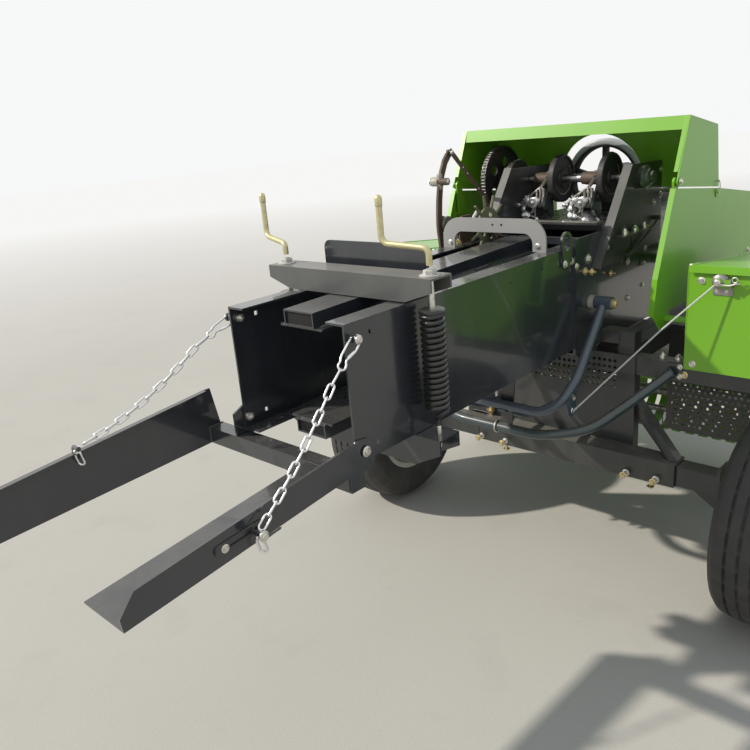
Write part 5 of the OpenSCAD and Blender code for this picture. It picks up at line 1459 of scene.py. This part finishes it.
class BALER_OT_frame(bpy.types.Operator):
    """Axle bolts, the adjusting block, rail bolts and welds of the main frame"""

    bl_idname = "baler.frame"
    bl_label = "Frame hardware"

    def execute(self, context):
        s = sizes().bolt
        # yellow heads that stand out of the axle's tube, bright nuts at it
        below = (500, -152)
        rows = [((x, 1262, z), REAR, s) for x, z in CLAMPS] + [((x, 1300, 404), DOWN, s) for x in below]
        bolts("axle_bolt_heads", rows, "bolt_yellow")
        bolts("axle_bolt_nuts", [((x, 1289.8, z), REAR, s) for x, z in CLAMPS])
        shanks = [rod((x, 1264, z), (x, 1288, z), 5.0, 12) for x, z in CLAMPS]
        shanks += [rod((x, 1300, 405), (x, 1300, 424), 5.0, 12) for x in below]
        piece("axle_bolt_shanks", shanks, "bolt_yellow")
        # adjusting block on the apron with its upright screw
        piece("adjusting_block", box_shape((-284, 1350, 562), (-226, 1378.8, 606)), "guard_paint", bevel=1.2)
        screw = [rod((-272, 1364, 506), (-272, 1364, 562), 8.0, 14)]
        for r, height, z in ((14, 14, 545), (13, 12, 516)):
            screw.append(hex_head(r, height).at([(-272, 1364, z)], [DOWN]))
        piece("adjusting_screw", screw, "bolt_yellow")
        piece("adjusting_nut", rod((-240, 1364, 604), (-240, 1364, 636), 6.5, 12), "bolt_zinc")
        bolts("rail_bolts", heads(REAR, (574, 1385, 844, s), (-574, 1385, 844, s)), "bolt_yellow")
        rows = [((side * x, y, 887), UP, s) for side in BOTH for y in (1415, 1905) for x in (480, 540)]
        bolts("rail_nuts", rows, kind="nut")
        paths = []
        for side, top in ((1, 519), (-1, 511)):
            paths += [[(side * x, y, z) for x, y, z in path] for path in (
                [(322, 1384.5, 519), (382, 1384.5, 519)], [(383, 1386, 520), (383, 1386, 640)],
                [(383, 1384.6, 816), (383, 1384.6, 886)], [(321.6, 1384.6, 890), (321.6, 1384.6, 975)],
                [(262, 1446, 881), (321, 1446, 881)], [(592, 1320, top), (592, 1364, top)],
                [(552, 1319, 520 if side > 0 else 511), (590, 1319, 520 if side > 0 else 511)])]
        paths += [[(x, 1291, 427), (x, 1291, 516), (x, 1384, 516)] for x in (591, -291)]
        paths += [[(low, 1378.4, 518), (high, 1378.4, 518)] for low, high in ((-385, -120), (140, 385))]
        welds("frame_tube_welds", paths, finish="frame_weld")
        return {"FINISHED"}


FLYWHEEL = np.array([-20.0, 1942.0, 1493.0])
# middle of the gearbox's input, and the two ends of the drive shaft
INPUT = np.array([0.0, 2700.0, 1180.0])
SHAFT_REAR, SHAFT_FRONT = np.array([0.0, 2732.0, 1162.0]), np.array([0.0, 3330.0, 762.0])


class BALER_OT_power(bpy.types.Operator):
    """Gearbox ribs and bolts, the flywheel's rim and nut, and the drive shaft's guard and joints"""

    bl_idname = "baler.power"
    bl_label = "Power train"

    def execute(self, context):
        self.flywheel()
        self.gearbox()
        self.drive_shaft()
        return {"FINISHED"}

    def flywheel(self):
        """The rim with a pale band on its rear face, spokes as oval bars, hub and nut."""
        rim = [[147, -18.2], [150, -20], [176, -20], [180.2, -17], [180.2, 17], [176, 20], [150, 20], [146, 17],
               [146, -17], [147, -18.2]]
        piece("flywheel_rim", spun(rim, 120, FLYWHEEL, FORE), "dark_iron", "flywheel")
        band = [[157, -20.2], [159, -21.4], [176, -21.4], [181.4, -17], [181.4, 17], [180.0, 17.5],
                [180.0, -16], [157, -20.2]]
        piece("flywheel_band", spun(band, 120, FLYWHEEL, FORE), "rim_grey", "flywheel")
        spokes = []
        for k in np.arange(5) * 2 * np.pi / 5:
            out = np.array([math.sin(k), 0, math.cos(k)])
            spokes.append(tube([FLYWHEEL + out * r for r in (24, 60, 110, 149)], [17, 14, 12.5, 15], 16, ref=Y,
                               squash=(1.0, 0.75)))
        piece("flywheel_spokes", spokes, "dark_iron", "flywheel")
        hub = [[0, -26], [18, -26], [19, -24], [34, -20], [36, -18], [36, 46], [33, 48], [0, 48]]
        parts = [spun(hub, 40, FLYWHEEL, FORE), hex_head(15, 12).at([FLYWHEEL - Y * 26], [REAR])]
        piece("flywheel_hub", parts, "dark_iron", "flywheel")

    def gearbox(self):
        """Cover bolts, filler plug, cooling ribs and the input seal."""
        rows = bolt_ring(FLYWHEEL + Y * 62, 52, 8, REAR, 5.0, 0.2) + bolt_ring(INPUT, 52, 4, FORE, 5.5, 0.2)
        rows += [((x, y, 1424), UP, 7.0) for x in (-132, -84, 44, 92) for y in (2108, 2270, 2412)]
        rows += [((x, 2640, z), FORE, 7.0) for x in (-124, 124) for z in (1036, 1180, 1324)]
        bolts("gearbox_bolts", rows)
        ribs = [box_shape((x - 3, 2450, 1340), (x + 3, 2640, 1356)) for x in np.linspace(-110, 110, 7)]
        ribs += [box_shape((s * 140 - 3, 2470, z), (s * 140 + 5, 2620, z + 6)) for s in BOTH
                 for z in (1080, 1140, 1200, 1260)]
        piece("gearbox_ribs", ribs, "dark_iron", bevel=1.0)
        plug = [spun([[0, 0], [16, 0], [16, 10], [12, 12], [12, 22], [0, 22]], 24, (60, 2220, 1424), UP),
                spun([[36, 0], [58, 0], [60, 2], [60, 8], [40, 10], [36, 8], [36, 0]], 40, INPUT, FORE)]
        piece("gearbox_plug", plug, "knot_steel")

    def drive_shaft(self):
        """A guard of two telescoping tubes with ribbed cones, whose radius falls evenly and
        ripples as the sine of the height, a joint at each end and the guard's small chain."""
        whole = SHAFT_FRONT - SHAFT_REAR
        way, length = unit(whole), float(np.linalg.norm(whole))
        mid = length * 0.52
        h = np.linspace(0, 92, 93)
        cone = 58 - 18 * (h / 92) + 1.6 * np.sin(h * 2 * np.pi / 11)
        profile = np.concatenate([
            [[44, 4]], np.stack([cone, h + 2], 1),
            [[38.6, 98], [38.6, mid], [42, mid + 2], [42, mid + 24], [35, mid + 26], [35, length - 100]],
            np.stack([cone[::-1], h + length - 96], 1), [[44, length - 6], [34, length - 6], [34, 4], [44, 4]]])
        piece("shaft_guard", spun(profile, 56, SHAFT_REAR, way), "guard_plastic", replaces=("drive_shaft",))
        joints = []
        for base, s in ((SHAFT_REAR, 1), (SHAFT_FRONT, -1)):
            c = base - way * s * 14
            joints.append(spun([[0, -12], [26, -12], [30, -8], [30, 8], [26, 12], [0, 12]], 28, c, way))
            joints.append(rod(c - X * 32, c + X * 32, 9))
            across = np.cross(way, X) * 30
            joints.append(rod(c - across, c + across, 9))
        joints.append(spun([[0, 0], [33, 0], [34, 2], [34, 40], [30, 44], [0, 44]], 32, INPUT, FORE))
        yoke = [[14, 0], [26, 0], [27, 3], [27, 30], [24, 34], [14, 34], [14, 0]]
        joints.append(spun(yoke, 28, SHAFT_FRONT, way))
        joints.append(rod(SHAFT_FRONT + way * 18 - X * 31, SHAFT_FRONT + way * 18 + X * 29, 5, 12))
        piece("shaft_joints", joints, "reel_steel")
        ways, middles, pitch = hung(np.array([20.0, 2790, 1172]), np.array([80.0, 2662, 1080]), 30, 12)
        links = link_shape(pitch, 9, 1.3, 8, 6).at(middles, ways, np.where(np.arange(12) % 2 == 0, 1.57, 0))
        piece("guard_chain", links, "chain_zinc")


# tined reel: its shaft's place along and up, the tine bars' distance from it, half width of
# the pickup, tine bars, and tines on each
REEL_Y, REEL_Z, BAR_R, PICKUP_HALF, TINE_BARS, TINES = 2330, 400, 130, 760, 4, 22
TINE_GAP = (2 * PICKUP_HALF - 120) / (TINES - 1)
# gauge wheel: distance from the middle, place along and up
GAUGE_X, GAUGE = 830, np.array([0.0, 2150.0, 210.0])


def tine(x, angle):
    """Spring tine of the reel about the shaft: a coil round the bar, then a straight finger
    with a slight bend, drawn in the plane that the angle gives."""
    turns = np.linspace(0, 2 * np.pi * 2.5, 44)
    coiled = np.stack([x - 9 + 6.2 * turns / (2 * np.pi), BAR_R + 15.5 * np.cos(turns),
                       15.5 * np.sin(turns)], 1)
    finger = smooth_path([coiled[-1], [x, 150, 6], [x, 200, 2], [x, 240, -6]], 16, 5)
    along, out, up = np.concatenate([coiled[:-1], finger]).T
    c, s = math.cos(angle), math.sin(angle)
    return np.stack([along, REEL_Y + out * c - up * s, REEL_Z + out * s + up * c], 1)


class BALER_OT_pickup(bpy.types.Operator):
    """Pickup: spring tines, bar ends, band screws, and the gauge wheels' rims and ribs"""

    bl_idname = "baler.pickup"
    bl_label = "Pickup"

    def execute(self, context):
        tines, bars = [], []
        for b in range(TINE_BARS):
            angle = math.radians(360 / TINE_BARS * b + 20)
            y, z = REEL_Y + BAR_R * math.cos(angle), REEL_Z + BAR_R * math.sin(angle)
            bars.append(rod((-750, y, z), (750, y, z), 12, 20))
            tines += [tube(tine(-700 + i * TINE_GAP, angle), 3.0, 6) for i in range(TINES)]
        middle = (0, REEL_Y, REEL_Z)
        bars.append(rod((-764, REEL_Y, REEL_Z), (764, REEL_Y, REEL_Z), 25, 32))
        disc = [[0, 746], [145, 746], [147, 748], [147, 752], [145, 754], [60, 754], [54, 758], [0, 758]]
        for side in BOTH:
            nut = hex_head(18, 14).at([(side * 764, REEL_Y, REEL_Z)], [side * X])
            bars += [spun(disc, 64, middle, side * X), nut]
        piece("reel_bars", bars, "reel_steel", "pickup_reel", replaces=("pickup_reel",))
        piece("reel_tines", tines, "reel_steel", "pickup_reel")
        # screws that hold the stripper bands to the cross tube, bolts on the side plates
        screws = [((x, 2104, 620), UP, 6.0) for x in -700 + TINE_GAP * (np.arange(TINES - 1) + 0.5)]
        bolts("band_screws", screws, body="pickup", kind="dome")
        plates = [((side * 766, y, z), side * X, 8.0) for side in BOTH for y, z in
                  ((1960, 660), (1960, 450), (2180, 690), (2520, 580), (2600, 420), (2520, 240), (2180, 190))]
        plates += [((side * 274, 2080, 614), side * X, 8.0) for side in BOTH]
        bolts("pickup_bolts", plates, body="pickup")
        rim = [[44, -30.5], [48, -34], [96, -38], [104, -37], [104, -30.5], [104, 30.5], [104, 37], [96, 38],
               [48, 34], [44, 30.5], [44, -30.5]]
        for side, name in SIDES:
            body, hub = "gauge_wheel_" + name, GAUGE + side * GAUGE_X * X
            piece("gauge_rim_" + name, spun(rim, 56, hub, RIGHT), "rim_cream", body)
            bolts("gauge_nuts_" + name, bolt_ring(hub + side * 34 * X, 30, 5, side * X, 6.0), body=body)
            ribs = [hoop(hub + dx * X, 179.2, 2.2, X, 96, 8) for dx in (-9, 0, 9)]
            piece("gauge_ribs_" + name, ribs, "tyre_rubber", body)
        return {"FINISHED"}


JACK = np.array([-110.0, 3330.0, 0.0])


class BALER_OT_drawbar(bpy.types.Operator):
    """Jack crank and foot, hitch rings, bolts and welds of the drawbar"""

    bl_idname = "baler.drawbar"
    bl_label = "Drawbar"

    def execute(self, context):
        caps = ([[0, 856], [36, 856], [37, 858], [37, 870], [30, 876], [14, 878], [13, 890], [0, 890]],
                [[28.4, 330], [37, 330], [37.5, 334], [37.5, 342], [34.4, 346], [28.4, 346], [28.4, 330]])
        piece("jack_caps", [turned(cap, 32).at([JACK]) for cap in caps], "frame_paint")
        grip = [[0, 0], [9, 0], [12, 6], [13, 30], [12.5, 60], [13.5, 74], [10, 80], [0, 80]]
        piece("jack_grip", turned(grip, 24).at([JACK + [0, 136, 893]]), "spring_black")
        crank = [bar([JACK + [0, y, z] for y, z in ((0, 884), (0, 894), (136, 894), (136, 972))], 10, 7.0, 14),
                 rod((-112, 3300, 870), (-112, 3360, 870), 4, 10)]
        piece("jack_crank", crank, "chain_zinc")
        pad = [[0, 8], [30, 8.2], [60, 8.2], [66, 12], [84, 12], [85, 9], [85, 3], [83, 0.4], [0, 0.4]]
        rib = box_shape(JACK + [-56, -3, 9], JACK + [56, 3, 23])
        piece("jack_pad", [turned(pad, 48).at([JACK]), rib], "chain_zinc", "jack_leg", bevel=0.6)
        bolts("tongue_bolts", [((side * 40, y, 480), side * X, 10.0) for side in BOTH for y in (3190, 3245)])
        # wear rings round the hitch hole, above and below
        piece("hitch_rings", [hoop((0, 3515, z), 21.5, 3.4, Z, 40) for z in (510, 450)], "reel_steel")
        paths = mirrored([(262, 2703, 880.6), (321, 2703, 880.6)], [(41, 3155, 511), (41, 3202, 511)],
                         [(8.6, 3246, 511), (8.6, 3274, 511)])
        paths += [[(-89, y, 508.6), (-41, y, 508.6)] for y in (3300, 3360)]
        welds("drawbar_welds", paths, finish="frame_weld")
        return {"FINISHED"}


class BALER_PT_panel(bpy.types.Panel):
    """Lists the baler's sizes, colours and pieces"""

    bl_idname = "BALER_PT_panel"
    bl_label = "Square baler"
    bl_space_type = "VIEW_3D"
    bl_region_type = "UI"
    bl_category = "Baler"

    def draw(self, context):
        for group in (context.scene.baler_sizes, context.scene.baler_colours):
            for name in group.__annotations__:
                self.layout.prop(group, name)
        for made in OPERATORS:
            self.layout.operator(made.bl_idname)


OPERATORS = (
    BALER_OT_finishes,
    BALER_OT_stage,
    BALER_OT_tyres,
    BALER_OT_tension,
    BALER_OT_chains,
    BALER_OT_chamber,
    BALER_OT_chute,
    BALER_OT_metering,
    BALER_OT_knotters,
    BALER_OT_drive,
    BALER_OT_hood,
    BALER_OT_boxes,
    BALER_OT_yoke,
    BALER_OT_frame,
    BALER_OT_power,
    BALER_OT_pickup,
    BALER_OT_drawbar,
)
CLASSES = (BalerSizes, BalerColours, *OPERATORS, BALER_PT_panel)


def register():
    for cls in CLASSES:
        bpy.utils.register_class(cls)
    bpy.types.Scene.baler_sizes = bpy.props.PointerProperty(type=BalerSizes)
    bpy.types.Scene.baler_colours = bpy.props.PointerProperty(type=BalerColours)


def unregister():
    del bpy.types.Scene.baler_colours
    del bpy.types.Scene.baler_sizes
    for cls in reversed(CLASSES):
        bpy.utils.unregister_class(cls)


def make_baler():
    """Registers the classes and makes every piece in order."""
    register()
    for made in OPERATORS:
        group, name = made.bl_idname.split(".")
        getattr(getattr(bpy.ops, group), name)()


if __name__ == "__main__":
    make_baler()
